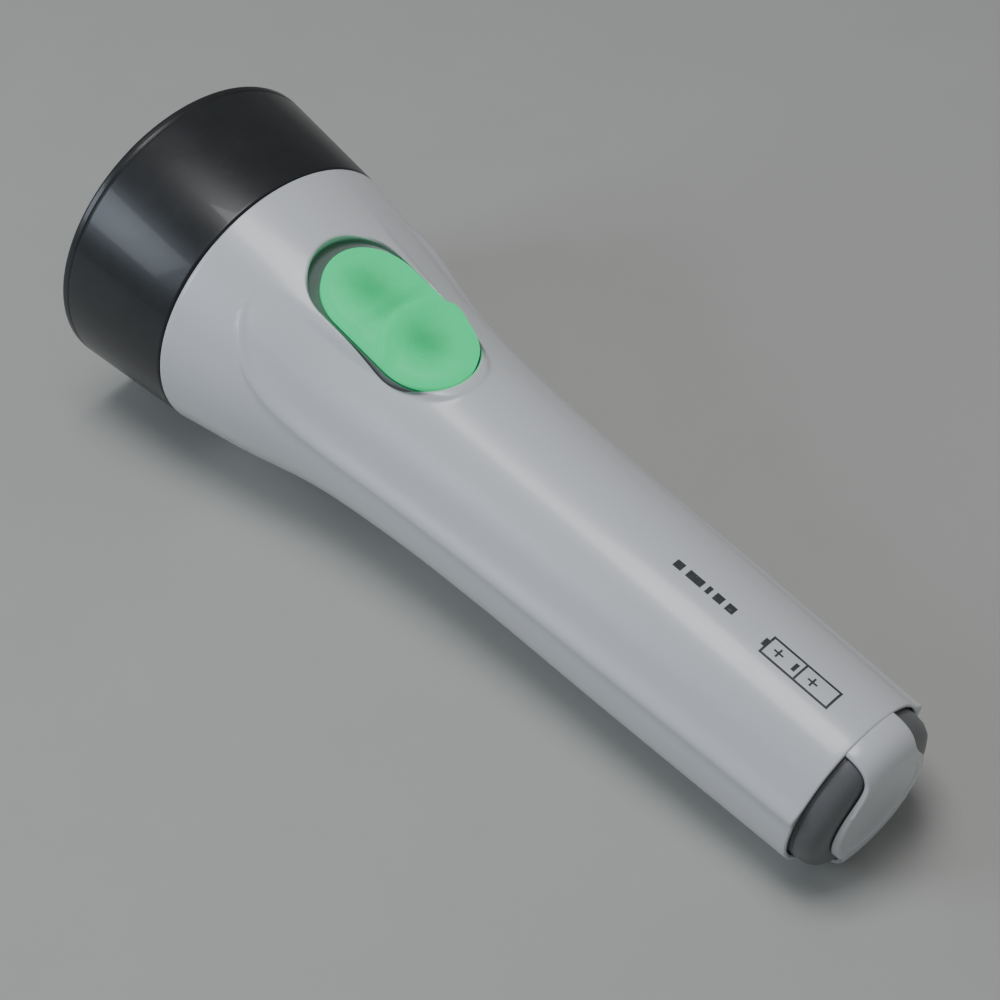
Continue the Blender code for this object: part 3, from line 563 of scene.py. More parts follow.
# %% Radius of the tube
TUBE_LENGTH = 160.6 * MM
TUBE_WALL = 1.8 * MM
TUBE_PROFILE = ((0.0, 20.0), (48.2, 21.6), (80.3, 22.5), (104.4, 24.0), (125.2, 26.6), (144.6, 31.4),
                (160.6, 34.7))
RIDGE_HEIGHT = 1.2 * MM
RIDGE_HALF_WIDTH = 2.3 * MM
RIDGE_TIP = 148.0 * MM
RIDGE_SWEEP = 34.0 * MM
RIDGE_ANGLES = np.radians((33.0, 77.0, 71.0))
RIDGE_STEEPER = 0.75
VALLEY_SHARE = 0.28
VALLEY_OFF = 2.6
VALLEY_WIDTH = 1.5


def tube_radius(x):
    """Cubic Hermite curve through the profile, its slopes the mean of the slopes on each side."""
    points = np.array(TUBE_PROFILE) * MM
    slope = np.diff(points[:, 1]) / np.diff(points[:, 0])
    tangent = np.concatenate((slope[:1], (slope[:-1] + slope[1:]) / 2, slope[-1:]))
    i = np.clip(np.searchsorted(points[:, 0], x, side="right") - 1, 0, len(points) - 2)
    step = points[i + 1, 0] - points[i, 0]
    u = (x - points[i, 0]) / step
    rise = (2 * u**3 - 3 * u**2 + 1) * points[i, 1] + (3 * u**2 - 2 * u**3) * points[i + 1, 1]
    return rise + step * ((u**3 - 2 * u**2 + u) * tangent[i] + (u**3 - u**2) * tangent[i + 1])


def ridge_angle(x):
    """Angle of the ridge from the top: from its tip it falls as the sine of a square root, which leaves
    the tip in line with the torch, then follows a slow ease along the side."""
    tip, side, tail = RIDGE_ANGLES
    sweep = np.sqrt(np.clip((RIDGE_TIP - x) / RIDGE_SWEEP, 0.0, 1.0))
    straight = tail + (side - tail) * smoothstep(0.0, RIDGE_TIP - RIDGE_SWEEP, x)
    return tip + (straight - tip) * np.sin(sweep * math.pi / 2)


def ridge_swell(x, angle):
    """Bell-shaped swell across the ridge line, steeper below, with a shallow valley above it. It gets
    thinner towards its tip, where it fades out."""
    away = (np.abs(angle) - ridge_angle(x)) * tube_radius(x)
    taper = smoothstep(RIDGE_TIP + 1 * MM, RIDGE_TIP - 16 * MM, x)
    width = RIDGE_HALF_WIDTH * (0.45 + 0.55 * taper)
    height = RIDGE_HEIGHT * smoothstep(RIDGE_TIP + 2 * MM, RIDGE_TIP - 8 * MM, x)
    crest = np.exp(-(away / (width * np.where(away > 0, RIDGE_STEEPER, 1.0))) ** 2)
    return height * (crest - VALLEY_SHARE * np.exp(-((away / width + VALLEY_OFF) / VALLEY_WIDTH) ** 2))


print("radius at the switch", round(float(tube_radius(np.array([SWITCH_X]))[0]) / MM, 2), "mm")

# %% [markdown]
# ## The switch collar
# Round the slide the tube swells into a crowned collar. It stands proud at the sides and behind, and at the
# front the flare rises out of it, so the collar's edge runs out to a point beside the head of the ridge.
# That point needs no drawing: the collar is its own height field, and the skin takes the higher of the two
# with a small fillet where they cross.


# %% Collar height field
CROWN_RADIUS = 38.0 * MM
CROWN_SINK = 0.2 * MM
COLLAR_REAR = -21.6 * MM
COLLAR_REAR_ROUND = 11.0 * MM
COLLAR_HALF_WIDTH = 12.2 * MM
COLLAR_LEAST_WIDTH = 6.0 * MM
COLLAR_SPREAD = 0.155
COLLAR_FALL = 1.9
COLLAR_EDGE_ROUND = 0.5 * MM
COLLAR_FILLET = 0.45 * MM


def crown_height(q):
    """Height of the crowned collar over the switch plane: a cylinder-like fall to each side."""
    return -CROWN_SINK - q * q / (2 * CROWN_RADIUS)


def collar_outside(t, q):
    """Distance beyond the collar's top edge: its half-width grows slowly forward, and behind it closes in
    a superellipse of power 2.5."""
    width = np.maximum(COLLAR_HALF_WIDTH + COLLAR_SPREAD * t, COLLAR_LEAST_WIDTH)
    behind = np.clip((COLLAR_REAR + COLLAR_REAR_ROUND - t) / COLLAR_REAR_ROUND, 0.0, None)
    return (((np.abs(q) / width) ** 2.5 + behind ** 2.5) ** 0.4 - 1.0) * COLLAR_REAR_ROUND


def collar_height(t, q):
    """The crown, falling away beyond its edge by a slope that is eased in over the edge rounding."""
    beyond = collar_outside(t, q)
    eased = (beyond + np.sqrt(beyond ** 2 + COLLAR_EDGE_ROUND ** 2)) / 2
    return crown_height(q) - COLLAR_FALL * eased


def skin(x, angle, inset=0.0):
    """Torch coordinates of the tube's outside: the ridged tube, lifted along the switch's own up
    direction to the collar wherever the collar is higher."""
    radius = tube_radius(x) + ridge_swell(x, angle) - inset
    y, z = radius * np.sin(angle), radius * np.cos(angle)
    t, n = switch_plan(x, z)
    lift = softly_above(n, collar_height(t, y), COLLAR_FILLET) - n
    lift = lift * smoothstep(0.95, 0.80, np.abs(angle)) * smoothstep(94 * MM, 98 * MM, x)
    return x - lift * math.sin(SWITCH_SLOPE), y, z + lift * math.cos(SWITCH_SLOPE)


def skin_under(t, q, surface):
    """Torch coordinates of the skin's point at t, q of the switch plane, found by four corrections of x."""
    x = SWITCH_X + t * math.cos(SWITCH_SLOPE)
    for _ in range(4):
        radius = np.maximum(tube_radius(x), np.abs(q) * 1.02)
        angle = np.arcsin(q / radius)
        sx, sy, sz = surface(x, angle)
        angle = angle + (q - sy) / radius
        sx, sy, sz = surface(x, angle)
        x = x + (t - switch_plan(sx, sz)[0]) / math.cos(SWITCH_SLOPE)
    return sx, sy, sz


def bore(x, angle, inset=0.0):
    """The inside of the tube, one wall in from the plain outside."""
    radius = tube_radius(x) - TUBE_WALL - inset
    return x, radius * np.sin(angle), radius * np.cos(angle)


# %% [markdown]
# ## Outlines as rays
# The pocket the slide runs in, the slot in its floor and the block under it are all seen from above as
# rounded plans about one centre. If each plan is given as a distance along rays from that centre, the same
# rays join plan to plan, so the faces between them are clean rings with nothing to cut or patch.

# %% Plans about the pocket's centre
SWITCH_TRAVEL = JOINTS["switch_slide"]["range_m"][1]
PAD_HALF_LENGTH = 18.7 * MM
PAD_HALF_WIDTH = 11.4 * MM
POCKET_GAP = 0.4 * MM
POCKET_CENTRE = SWITCH_TRAVEL / 2
POCKET_HALF = (PAD_HALF_LENGTH + POCKET_GAP + SWITCH_TRAVEL / 2, PAD_HALF_WIDTH + POCKET_GAP)


def stadium_reach(rays, half_length, half_width):
    """How far each unit ray runs inside a straight-sided plan with round ends: to the straight side, or
    where that lies past the straights, to the end circle."""
    c, d = np.abs(rays[:, 0]), np.abs(rays[:, 1])
    straight = half_length - half_width
    side = half_width / np.maximum(d, 1e-9)
    end = straight * c + np.sqrt(np.maximum(half_width ** 2 - (straight * d) ** 2, 0.0))
    return np.where(side * c <= straight, side, end)


def block_reach(rays, half_length, half_width, power=10):
    """Reach inside a rectangle with soft corners: a superellipse of a high power."""
    c, d = np.abs(rays[:, 0]) / half_length, np.abs(rays[:, 1]) / half_width
    return (c ** power + d ** power) ** (-1 / power)


# %% [markdown]
# ## The tube as one closed skin
# The outside, the rounded tail edge, the threaded neck, the bore and the tail socket are rows of one closed
# grid. A window of that grid round the switch is left out, outside and inside, and a stack of rings joins
# the two windows: over the collar's lip, down the pocket wall, across its floor, through the slot for the
# slide's stem and out again underneath. The lip is rounded, since its highlight is what shows the collar.

# %% Build the tube
STEPS_ROUND = 240
TAIL_ROUND = 0.4 * MM
FRONT_BREAK = 0.3 * MM
NECK_RADIUS = 32.4 * MM
THREAD_PITCH = JOINTS["head_travel"]["range_m"][1]
THREAD_DEPTH = 0.13 * MM
THREAD_SPAN = (163.5 * MM, 174.5 * MM)
LIP_ROUND = 0.55 * MM
POCKET_FLOOR = -2.9 * MM
FLOOR_FILLET = 0.35 * MM
FLOOR_UNDERSIDE = -4.5 * MM
BLOCK_UNDERSIDE = -6.3 * MM
BLOCK_WALL = 1.2 * MM
SLOT_HALF = (8.0 * MM, 3.5 * MM)
CHAMBER_HALF = (12.0 * MM, 8.3 * MM)
WINDOW_X = (100.5 * MM, 152.0 * MM)
WINDOW_ANGLE = math.radians(43.5)

tube_angles = 2 * math.pi * np.arange(STEPS_ROUND) / STEPS_ROUND - math.pi


def thread(x, angle):
    """Rounded screw thread: a raised cosine of the turn along the pitch, faded at both ends."""
    phase = 2 * math.pi * (x / THREAD_PITCH) + angle
    ends = smoothstep(THREAD_SPAN[0], THREAD_SPAN[0] + 1.5 * MM, x)
    ends = ends * smoothstep(THREAD_SPAN[1], THREAD_SPAN[1] - 1.5 * MM, x)
    return THREAD_DEPTH * ends * (0.5 + 0.5 * np.cos(phase)) ** 3


def rows_of(surface, stations, insets=0.0):
    """Rows of torch points of a surface at x stations all round the tube."""
    x = stations[:, None] + 0 * tube_angles[None, :]
    return np.stack(surface(x, tube_angles[None, :] + 0 * x, insets), axis=-1)


def ring_rows(profile, swell=None):
    """Rows of torch points for a plain profile (x, r) in the tube's own steps."""
    x = profile[:, :1] + 0 * tube_angles[None, :]
    radius = profile[:, 1:] + (swell(x, tube_angles[None, :] + 0 * x) if swell else 0 * x)
    return np.stack((x, radius * np.sin(tube_angles), radius * np.cos(tube_angles)), axis=-1)


turn = np.linspace(0.0, math.pi / 2, 6)[:-1]
edge_x, edge_inset = TAIL_ROUND * (1 - np.cos(turn)), TAIL_ROUND * (1 - np.sin(turn))
handle = np.linspace(TAIL_ROUND, WINDOW_X[0], 72)[:-1]
window = np.linspace(*WINDOW_X, 84)
flare = np.linspace(WINDOW_X[1], TUBE_LENGTH - FRONT_BREAK, 12)[1:]
outside = rows_of(skin, np.r_[edge_x, handle, window, flare],
                  np.r_[edge_inset, 0 * handle, 0 * window, 0 * flare][:, None])
shoulder = ((TUBE_LENGTH, tube_radius(TUBE_LENGTH) - FRONT_BREAK), (TUBE_LENGTH, NECK_RADIUS))
front = ring_rows(np.array(shoulder))
neck_x = np.r_[161.2 * MM, np.linspace(*THREAD_SPAN, 30)]
neck = ring_rows(np.column_stack((neck_x, 0 * neck_x + NECK_RADIUS)), thread)
throat = ring_rows(rounded(((175.9, 32.4, 0), (176.0, 32.2, 0), (176.0, 30.4, 0.3), (153.0, 30.4, 0.5))))
inside = rows_of(bore, np.r_[window[::-1], np.linspace(WINDOW_X[0], 6 * MM, 16)[1:]])
socket = ring_rows(rounded(((5.0, 18.2, 0), (5.0, 18.89, 0), (0.3, 18.89, 0.2), (0.0, 19.2, 0))))
tube_rows = np.concatenate((outside, front, neck, throat, inside, socket))
print("tube rows", len(tube_rows))

# %% [markdown]
# ## Rings through the switch window
# Each ring below is a plan and a height. The first rings carry the skin inwards to the lip; the last ones
# carry the bore outwards from the block under the pocket.


# %% Ring stack
def window_loop(table):
    """The border of a table, once round, starting at its first corner."""
    return np.concatenate((table[0, :-1], table[:-1, -1], table[-1, :0:-1], table[:0:-1, 0]))


columns = np.flatnonzero(np.abs(tube_angles) <= WINDOW_ANGLE + 1e-6)
first_row = len(edge_x) + len(handle)
outer_index = np.arange(first_row, first_row + len(window))[:, None] * STEPS_ROUND + columns
inner_start = len(outside) + len(front) + len(neck) + len(throat)
inner_index = np.arange(inner_start + len(window) - 1, inner_start - 1, -1)[:, None] * STEPS_ROUND + columns
flat_rows = tube_rows.reshape(-1, 3)


def in_switch_plane(points):
    """t and q of torch points."""
    return np.column_stack((switch_plan(points[:, 0], points[:, 2])[0], points[:, 1]))


centre = np.array((POCKET_CENTRE, 0.0))
outer_border = in_switch_plane(flat_rows[window_loop(outer_index)])
inner_border = in_switch_plane(flat_rows[window_loop(inner_index)])
rays = outer_border - centre
rays = rays / np.linalg.norm(rays, axis=1, keepdims=True)
pocket_plan = stadium_reach(rays, *POCKET_HALF)


def plan_points(reach):
    """t and q at a reach along every ray."""
    return centre + rays * reach[:, None]


def ring_at(reach, height):
    """A ring of torch points at a reach and a height over the switch plane."""
    plan = plan_points(reach)
    return np.stack(switch_place(plan[:, 0], plan[:, 1], height + 0 * reach), axis=-1)


def skin_ring(reach, surface):
    """A ring of torch points at a reach, dropped on the skin or on the bore."""
    plan = plan_points(reach)
    return np.stack(skin_under(plan[:, 0], plan[:, 1], surface), axis=-1)


def height_of(points):
    """Height of torch points over the switch plane."""
    return switch_plan(points[:, 0], points[:, 2])[1]


outer_reach = np.linalg.norm(outer_border - centre, axis=1)
inner_reach = np.linalg.norm(inner_border - centre, axis=1)
rings = [skin_ring(pocket_plan + LIP_ROUND + (outer_reach - pocket_plan - LIP_ROUND) * share, skin)
         for share in np.linspace(1.0, 0.0, 24)[1:] ** 1.15]
lip_top = height_of(rings[-1])
for turn in np.radians((25.0, 50.0, 75.0, 90.0)):
    rings.append(ring_at(pocket_plan + LIP_ROUND * (1 - math.sin(turn)),
                         lip_top - LIP_ROUND * (1 - math.cos(turn))))
rings.append(ring_at(pocket_plan, np.minimum(lip_top - LIP_ROUND - 0.05 * MM, POCKET_FLOOR + FLOOR_FILLET)))
for turn in np.radians((45.0, 90.0)):
    rings.append(ring_at(pocket_plan - FLOOR_FILLET * (1 - math.cos(turn)),
                         POCKET_FLOOR + FLOOR_FILLET * (1 - math.sin(turn))))
slot_plan = block_reach(rays, *SLOT_HALF)
chamber_plan = block_reach(rays, *CHAMBER_HALF)
block_plan = pocket_plan + BLOCK_WALL
bore_over_block = height_of(skin_ring(block_plan, bore))
for share in (0.6, 0.25):
    rings.append(ring_at(slot_plan + (pocket_plan - slot_plan) * share, POCKET_FLOOR))
rings += [ring_at(slot_plan, POCKET_FLOOR), ring_at(slot_plan, FLOOR_UNDERSIDE),
          ring_at(chamber_plan, FLOOR_UNDERSIDE), ring_at(chamber_plan, BLOCK_UNDERSIDE),
          ring_at(block_plan, np.minimum(BLOCK_UNDERSIDE, bore_over_block - 0.05 * MM)),
          skin_ring(block_plan, bore)]
rings += [skin_ring(block_plan + (inner_reach - block_plan) * share, bore)
          for share in (0.25, 0.5, 0.75)]

# %% [markdown]
# ## Join the tube
# The grid's faces inside the two windows are dropped, and the rings are stitched between the windows'
# borders. The result is one closed body.

# %% Stitch the faces
index = np.arange(len(flat_rows)).reshape(-1, STEPS_ROUND)
faces = quads(index, wrap_rows=True, wrap_columns=True)
dropped = np.union1d(outer_index[:-1, :-1], inner_index[1:, :-1])
faces = faces[~np.isin(index.reshape(-1), dropped)]
ring_points = np.concatenate(rings)
ring_index = len(flat_rows) + np.arange(len(ring_points)).reshape(len(rings), -1)
ring_index = np.vstack((window_loop(outer_index), ring_index, window_loop(inner_index)))
faces = np.vstack((faces, quads(ring_index, wrap_columns=True)))
every = np.vstack((flat_rows, ring_points))
tube = mesh_object("tube_skin", torch_place(*every.T), faces, sharp=TUBE_SHARP)
seat(tube, "tube", "white_plastic", white_printed, "body_shell")

# %% [markdown]
# ## The thumb slide
# The slide is a crowned oval with a dish before and behind a curved rib, where the thumb pushes. It stands a
# little proud of its collar. Its top is a height over the plan, summed from bells: two hollows, one rib with
# a steep front. The plan's rays give the grid, dense near the rim where the edge rolls over.

# %% Slide surface
PAD_UNDERSIDE = -2.6 * MM
STEM_HALF = (6.0 * MM, 3.0 * MM)
STEM_FOOT = -5.7 * MM
PAD_DOME = 1.35 * MM
PAD_EDGE_WIDTH = 3.4 * MM
PAD_EDGE_DROP = 1.5 * MM
DISH_DEEP = 1.25 * MM
RIB_RISE = 1.75 * MM
RIB_FRONT = 0.85 * MM
RIB_BACK = 2.8 * MM
RIB_BEND = 24.0 * MM


def pad_height(t, q):
    """Crown less two dishes plus a rib, less an edge that rolls over like an ellipse of power 2.6."""
    inside = PAD_HALF_WIDTH - np.hypot(np.maximum(np.abs(t) - PAD_HALF_LENGTH + PAD_HALF_WIDTH, 0.0), q)
    near = 1.0 - np.clip(inside / PAD_EDGE_WIDTH, 0.0, 1.0)
    edge = PAD_EDGE_DROP * (1.0 - np.sqrt(1.0 - 0.96 * near ** 2.6))
    dome = PAD_DOME - q * q / (2 * CROWN_RADIUS) - edge
    return dome - dish_depth(t, q) * DISH_DEEP + rib_height(t, q)


def dish_depth(t, q):
    """Share of a full hollow: one long bell ahead of the rib and a rounder one behind it."""
    ahead = 0.95 * np.exp(-((t - 8.6 * MM) / (5.4 * MM)) ** 2 - (q / (4.8 * MM)) ** 2)
    behind = np.exp(-((t + 7.6 * MM) / (4.8 * MM)) ** 2 - (q / (4.6 * MM)) ** 2)
    return ahead + behind


def rib_height(t, q):
    """A ridge curved back at its ends: a bell that is three times steeper on its front than behind."""
    crest = t + 0.3 * MM + q * q / RIB_BEND
    width = np.where(crest > 0, RIB_FRONT, RIB_BACK)
    return RIB_RISE * np.exp(-(crest / width) ** 2)


turns = 2 * math.pi * np.arange(224) / 224
pad_rays = np.column_stack((np.cos(turns), np.sin(turns)))
pad_plan = stadium_reach(pad_rays, PAD_HALF_LENGTH, PAD_HALF_WIDTH)
shares = np.sin(np.linspace(0.0, math.pi / 2, 46)) ** 0.9
t = pad_rays[None, :, 0] * pad_plan * shares[:, None]
q = pad_rays[None, :, 1] * pad_plan * shares[:, None]
top = np.stack(switch_place(t, q, pad_height(t, q)), axis=-1)
stem_plan = block_reach(pad_rays, *STEM_HALF)


def pad_ring(reach, height):
    """A ring of the slide at a reach along its rays."""
    return np.stack(switch_place(pad_rays[:, 0] * reach, pad_rays[:, 1] * reach, height), axis=-1)[None]


foot_rings = [pad_ring(pad_plan, PAD_UNDERSIDE + 0.3 * MM), pad_ring(pad_plan - 0.3 * MM, PAD_UNDERSIDE),
              pad_ring(stem_plan + 0.4 * MM, PAD_UNDERSIDE), pad_ring(stem_plan, PAD_UNDERSIDE - 0.4 * MM),
              pad_ring(stem_plan, STEM_FOOT + 0.3 * MM), pad_ring(stem_plan * 0.93, STEM_FOOT),
              pad_ring(stem_plan * 0.0, STEM_FOOT)]
pad_points = np.concatenate([top] + foot_rings)
pad = grid_object("thumb_slide", torch_place(*np.moveaxis(pad_points, -1, 0)))
seat(pad, "slide", "glow_plastic", glow, "switch_pad")

# %% [markdown]
# ## Dish depth and painted shade as an attribute
# The glow is painted a deeper green as shade in the dishes, on the rib's steep front and down the slide's
# sides. The welded mesh no longer follows the grid, so this shade is worked out again from each vertex's own
# place and stored with the mesh, where the finish reads it.

# %% Store the dish depth and painted shade
vertices = np.empty(len(pad.data.vertices) * 3)
pad.data.vertices.foreach_get("co", vertices)
local = torch_plan(vertices.reshape(-1, 3))
plane = in_switch_plane(local)
# Painted shade for the glow: the dishes, the rib's steep front and the sides below the top all darken it.
above = smoothstep(-1.5 * MM, 0.0, height_of(local) + plane[:, 1] ** 2 / (2 * CROWN_RADIUS))
rib_front_painted_shade = np.exp(-((plane[:, 0] - 2.4 * MM) / (1.6 * MM)) ** 2 - (plane[:, 1] / (8.0 * MM)) ** 2)
depth = np.clip(dish_depth(plane[:, 0], plane[:, 1]) * 0.75 + 0.35 * rib_front_painted_shade, 0.0, 1.0) * above
depth = np.clip(depth + 0.75 * (1.0 - above), 0.0, 1.0)
pad.data.attributes.new("dish_depth", "FLOAT", "POINT").data.foreach_set("value", depth.astype(np.float32))
print("dish depth from", round(float(depth.min()), 2), "to", round(float(depth.max()), 2))

# %% [markdown]
# ## Head ring
# The ring is a straight glossy cone with a thin bead at its front rim and a broken edge at its rear. Inside
# are the thread that meets the neck's, the shoulder that pushes the reflector, and the lip over the lens.

# %% Head ring
RING_BORE = 32.7


def ring_thread(x, angle):
    """The neck's thread seen from inside: the same helix half a pitch on, standing inwards."""
    on_bore = ring_profile[:, 1:] < (RING_BORE + 0.05) * MM
    return -thread(x + THREAD_PITCH / 2, angle) * on_bore


ring_corners = ((160.9, 32.7, 0.0), (160.9, 34.7, 0.5), (186.9, 37.47, 0.15), (187.25, 37.28, 0.12),
                (187.6, 37.5, 0.15), (189.2, 37.7, 0.7), (189.2, 34.5, 0.4), (187.9, 33.2, 0.3),
                (187.8, 33.2, 0.0), (187.8, 34.6, 0.0), (176.8, 34.6, 0.0), (176.8, 32.7, 0.3))
bore_x = np.linspace(176.0, 161.2, 38)
ring_profile = np.vstack((rounded(ring_corners), np.column_stack((bore_x, 0 * bore_x + RING_BORE)) * MM))
head_ring = grid_object("head_ring_shell", spun(ring_profile, 192, ring_thread), wrap_rows=True)
seat(head_ring, "head", "black_plastic", black_gloss, "head_ring")

# %% [markdown]
# ## Reflector
# The dish is a paraboloid whose focus sits in the lamp, so the radius squared is four focal lengths times
# the depth. Its mesh needs many rings, because a mirror shows every facet. Behind it the moulding carries a
# clamping flange, a skirt that fits the neck, and a rear sleeve that holds the lamp.

# %% Reflector
DISH_FOCUS = 7.5
DISH_VERTEX = 150.0
DISH_WALL = 1.2
dish_r = np.linspace(4.8, 31.0, 60)
dish = np.column_stack((DISH_VERTEX + dish_r ** 2 / (4 * DISH_FOCUS), dish_r)) * MM
back_r = np.linspace(29.0, 10.9, 24)
lean = back_r / (2 * DISH_FOCUS)
gap = DISH_WALL / np.hypot(1.0, lean)
dish_back = np.column_stack((DISH_VERTEX + back_r ** 2 / (4 * DISH_FOCUS) - gap, back_r + gap * lean)) * MM
rim = rounded(((184.5, 31.0, 0.3), (184.5, 34.3, 0.3), (183.0, 34.3, 0.3), (183.0, 32.4, 0.2),
               (176.3, 32.4, 0.2), (176.3, 31.2, 0.2), (180.2, 31.2, 0.4)))
sleeve = rounded(((152.8, 11.5, 0.6), (140.0, 11.5, 0.3), (140.0, 9.6, 0.3), (149.6, 9.6, 0.2),
                  (149.6, 4.8, 0.2)))
profile = np.vstack((dish, rim, dish_back, sleeve))
reflector = grid_object("reflector_dish", spun(profile, 144), wrap_rows=True)
seat(reflector, "lamp_unit", "mirror_coat", mirror, "reflector")

# %% [markdown]
# ## Lens and seal
# The lens is a flat clear disc with polished edges, pressed on the reflector by a rubber ring. Clear plastic
# is a transmitting shader; its faint scratches and fingerprints show in its colour, roughness and bump.

# %% Lens and seal
def clear_finish(name, roughness, smear):
    """Clear plastic with fingerprints and long scratches, both scaled by smear."""
    finish = Finish(name)
    place = finish.torch_position()
    prints = finish.step(finish.noise(place, 0.12, 5.0, 0.65), 0.50, 0.70) * smear
    lines = finish.noise(finish.stretched(place, (1.0, 0.4, 7.0)), 0.9, 4.0)
    scratch = finish.step(lines, 0.66, 0.72) * smear
    colour = finish.mix(prints, (0.97, 0.98, 0.99), (0.90, 0.92, 0.94))
    return finish.done({"Base Color": colour, "Transmission Weight": 1.0, "IOR": 1.49,
                        "Roughness": roughness + prints * 0.10 + scratch * 0.15,
                        "Normal": finish.bump(scratch, -0.004 * MM)})


clear_lens = clear_finish("clear_lens", 0.01, 1.0)
clear_lamp = clear_finish("clear_lamp", 0.02, 0.4)
lens = turned_piece("lens_disc", 144, ((184.8, 0.0, 0), (184.8, 34.3, 0.3), (186.4, 34.3, 0.3),
                                       (186.4, 0.0, 0)))
seat(lens, "lamp_unit", "clear_plastic", clear_lens, "lens")
turn = 2 * math.pi * np.arange(14) / 14
seal_profile = np.column_stack((187.1 + 0.4 * np.cos(turn), 33.9 + 0.4 * np.sin(turn))) * MM
seal = grid_object("lens_seal", spun(seal_profile, 144), wrap_rows=True)
seat(seal, "lamp_unit", "black_rubber", seal_rubber, "lens_gasket")

# %% [markdown]
# ## The lamp
# The light source is a round-nosed 8 mm diode. Inside its clear body stand two legs: one carries a small cup
# with the chip, the other reaches over it with a hair of wire. A tube swept along a path of points makes the
# legs, and the same sweep later makes the springs.

# %% Lamp and its legs
def swept(name, path, radius, sides=10):
    """A closed tube along a path of torch points (mm): rings stand square to the path's direction, and
    a ring shrunk to a point closes each end."""
    path = np.asarray(path, float)
    along = np.gradient(path, axis=0)
    along = along / np.linalg.norm(along, axis=1, keepdims=True)
    reference = np.array((1.0, 0.0, 0.0)) if abs(along[:, 0]).max() < 0.9 else np.array((0.0, 0.0, 1.0))
    across = np.cross(along, reference)
    across = across / np.linalg.norm(across, axis=1, keepdims=True)
    third = np.cross(along, across)
    turn = 2 * math.pi * np.arange(sides) / sides
    circle = across[:, None] * np.cos(turn)[None, :, None] + third[:, None] * np.sin(turn)[None, :, None]
    rows = path[:, None] + circle * radius
    rows = np.concatenate((path[:1, None] + 0 * circle[:1], rows, path[-1:, None] + 0 * circle[-1:]))
    return grid_object(name, torch_place(*np.moveaxis(rows * MM, -1, 0)))


def smooth_path(corners, steps=24):
    """A path through corner points, its corners cut by averaging neighbours a few times."""
    corners = np.array(corners, float)
    place = np.linspace(0, len(corners) - 1, steps)
    path = np.column_stack([np.interp(place, np.arange(len(corners)), column) for column in corners.T])
    for _ in range(3):
        path[1:-1] = (path[:-2] + 2 * path[1:-1] + path[2:]) / 4
    return path


NOSE_START, NOSE_RADIUS = 157.0, 3.9
nose_turn = np.linspace(0.0, math.pi / 2, 14)
nose = np.column_stack((NOSE_START + NOSE_RADIUS * np.sin(nose_turn), NOSE_RADIUS * np.cos(nose_turn))) * MM
bulb_base = rounded(((149.1, 0.0, 0), (149.1, 4.4, 0.15), (150.1, 4.4, 0.15), (150.1, NOSE_RADIUS, 0.08)))
bulb = grid_object("lamp_bulb", spun(np.vstack((bulb_base, nose)), 64))
seat(bulb, "lamp_unit", "clear_plastic", clear_lamp, "led_lamp")
for name, side, reach in (("lamp_anvil", -1.0, 154.0), ("lamp_post", 1.0, 155.2)):
    leg_path = smooth_path(((146.6, 0, side * 1.27), (152.0, 0, side * 1.27), (reach, 0, side * 0.75)))
    seat(swept(name, leg_path, 0.28), "lamp_unit", "tinned_steel", tin)
cup = turned_piece("lamp_cup", 32, ((153.6, 0.0, 0), (153.6, 1.1, 0.1), (154.7, 1.5, 0.05),
                                    (154.7, 1.25, 0.05), (154.1, 0.8, 0.05), (154.1, 0.0, 0)))
seat(cup, "lamp_unit", "tinned_steel", tin)
bond_path = smooth_path(((154.35, 0, 0), (155.3, 0, 0.2), (155.7, 0, 0.5), (155.2, 0, 0.75)))
seat(swept("lamp_bond_wire", bond_path, 0.05, 6), "lamp_unit", "brass", brass)


def phosphor_finish():
    """Grainy yellow of the chip's phosphor."""
    finish = Finish("lamp_phosphor")
    grain = finish.noise(finish.torch_position(), 8.0, 3.0)
    colour = finish.mix(grain, (0.90, 0.72, 0.10), (0.75, 0.55, 0.05))
    return finish.done({"Base Color": colour, "Roughness": 0.5 + grain * 0.2,
                        "Normal": finish.bump(grain, 0.02 * MM)})


chip = turned_piece("lamp_chip", 24, ((154.1, 0.0, 0), (154.1, 0.75, 0.05), (154.32, 0.7, 0.1),
                                      (154.38, 0.0, 0)))
seat(chip, "lamp_unit", "clear_plastic", phosphor_finish())

# %% [markdown]
# ## Lamp board, holder and contacts
# Behind the reflector the diode is soldered to a round green board with its dropping resistor. A white cup
# holds the board in the reflector's sleeve, a brass rivet and a small spring meet the front cell, and a brass
# ring round the sleeve meets the strip from the switch. The board's copper tracks show as paler green under
# the solder mask, so its finish draws them as a ring and a spoke, with a bare tinned ring outside them. All
# four pieces are turned, so one table holds their profiles.

# %% Lamp board and holder
def board_finish():
    """Solder mask over woven glass, tracks as bands of radius and of y, and a bare ring of metal."""
    finish = Finish("green_board")
    place = finish.torch_position()
    x, y, z = finish.split(place)
    radius = finish.math("SQRT", y * y + z * z)
    track = finish.step(abs(radius - 6.0), 0.45, 0.55, 1.0, 0.0).highest(
        finish.step(abs(y), 0.45, 0.55, 1.0, 0.0) * finish.step(radius, 1.0, 1.2))
    copper = finish.step(abs(radius - 8.4), 0.35, 0.45, 1.0, 0.0)
    glass = finish.noise(finish.stretched(place, (1.0, 3.0, 3.0)), 1.5, 3.0)
    mask = finish.mix(track * 0.8 + glass * 0.2, (0.008, 0.12, 0.045), (0.03, 0.26, 0.09))
    colour = finish.mix(copper, mask, (0.72, 0.70, 0.66))
    return finish.done({"Base Color": colour, "Metallic": copper, "Roughness": 0.30 + glass * 0.15,
                        "Normal": finish.bump(track * 0.7 + glass * 0.3, 0.03 * MM), "Coat Weight": 0.3})


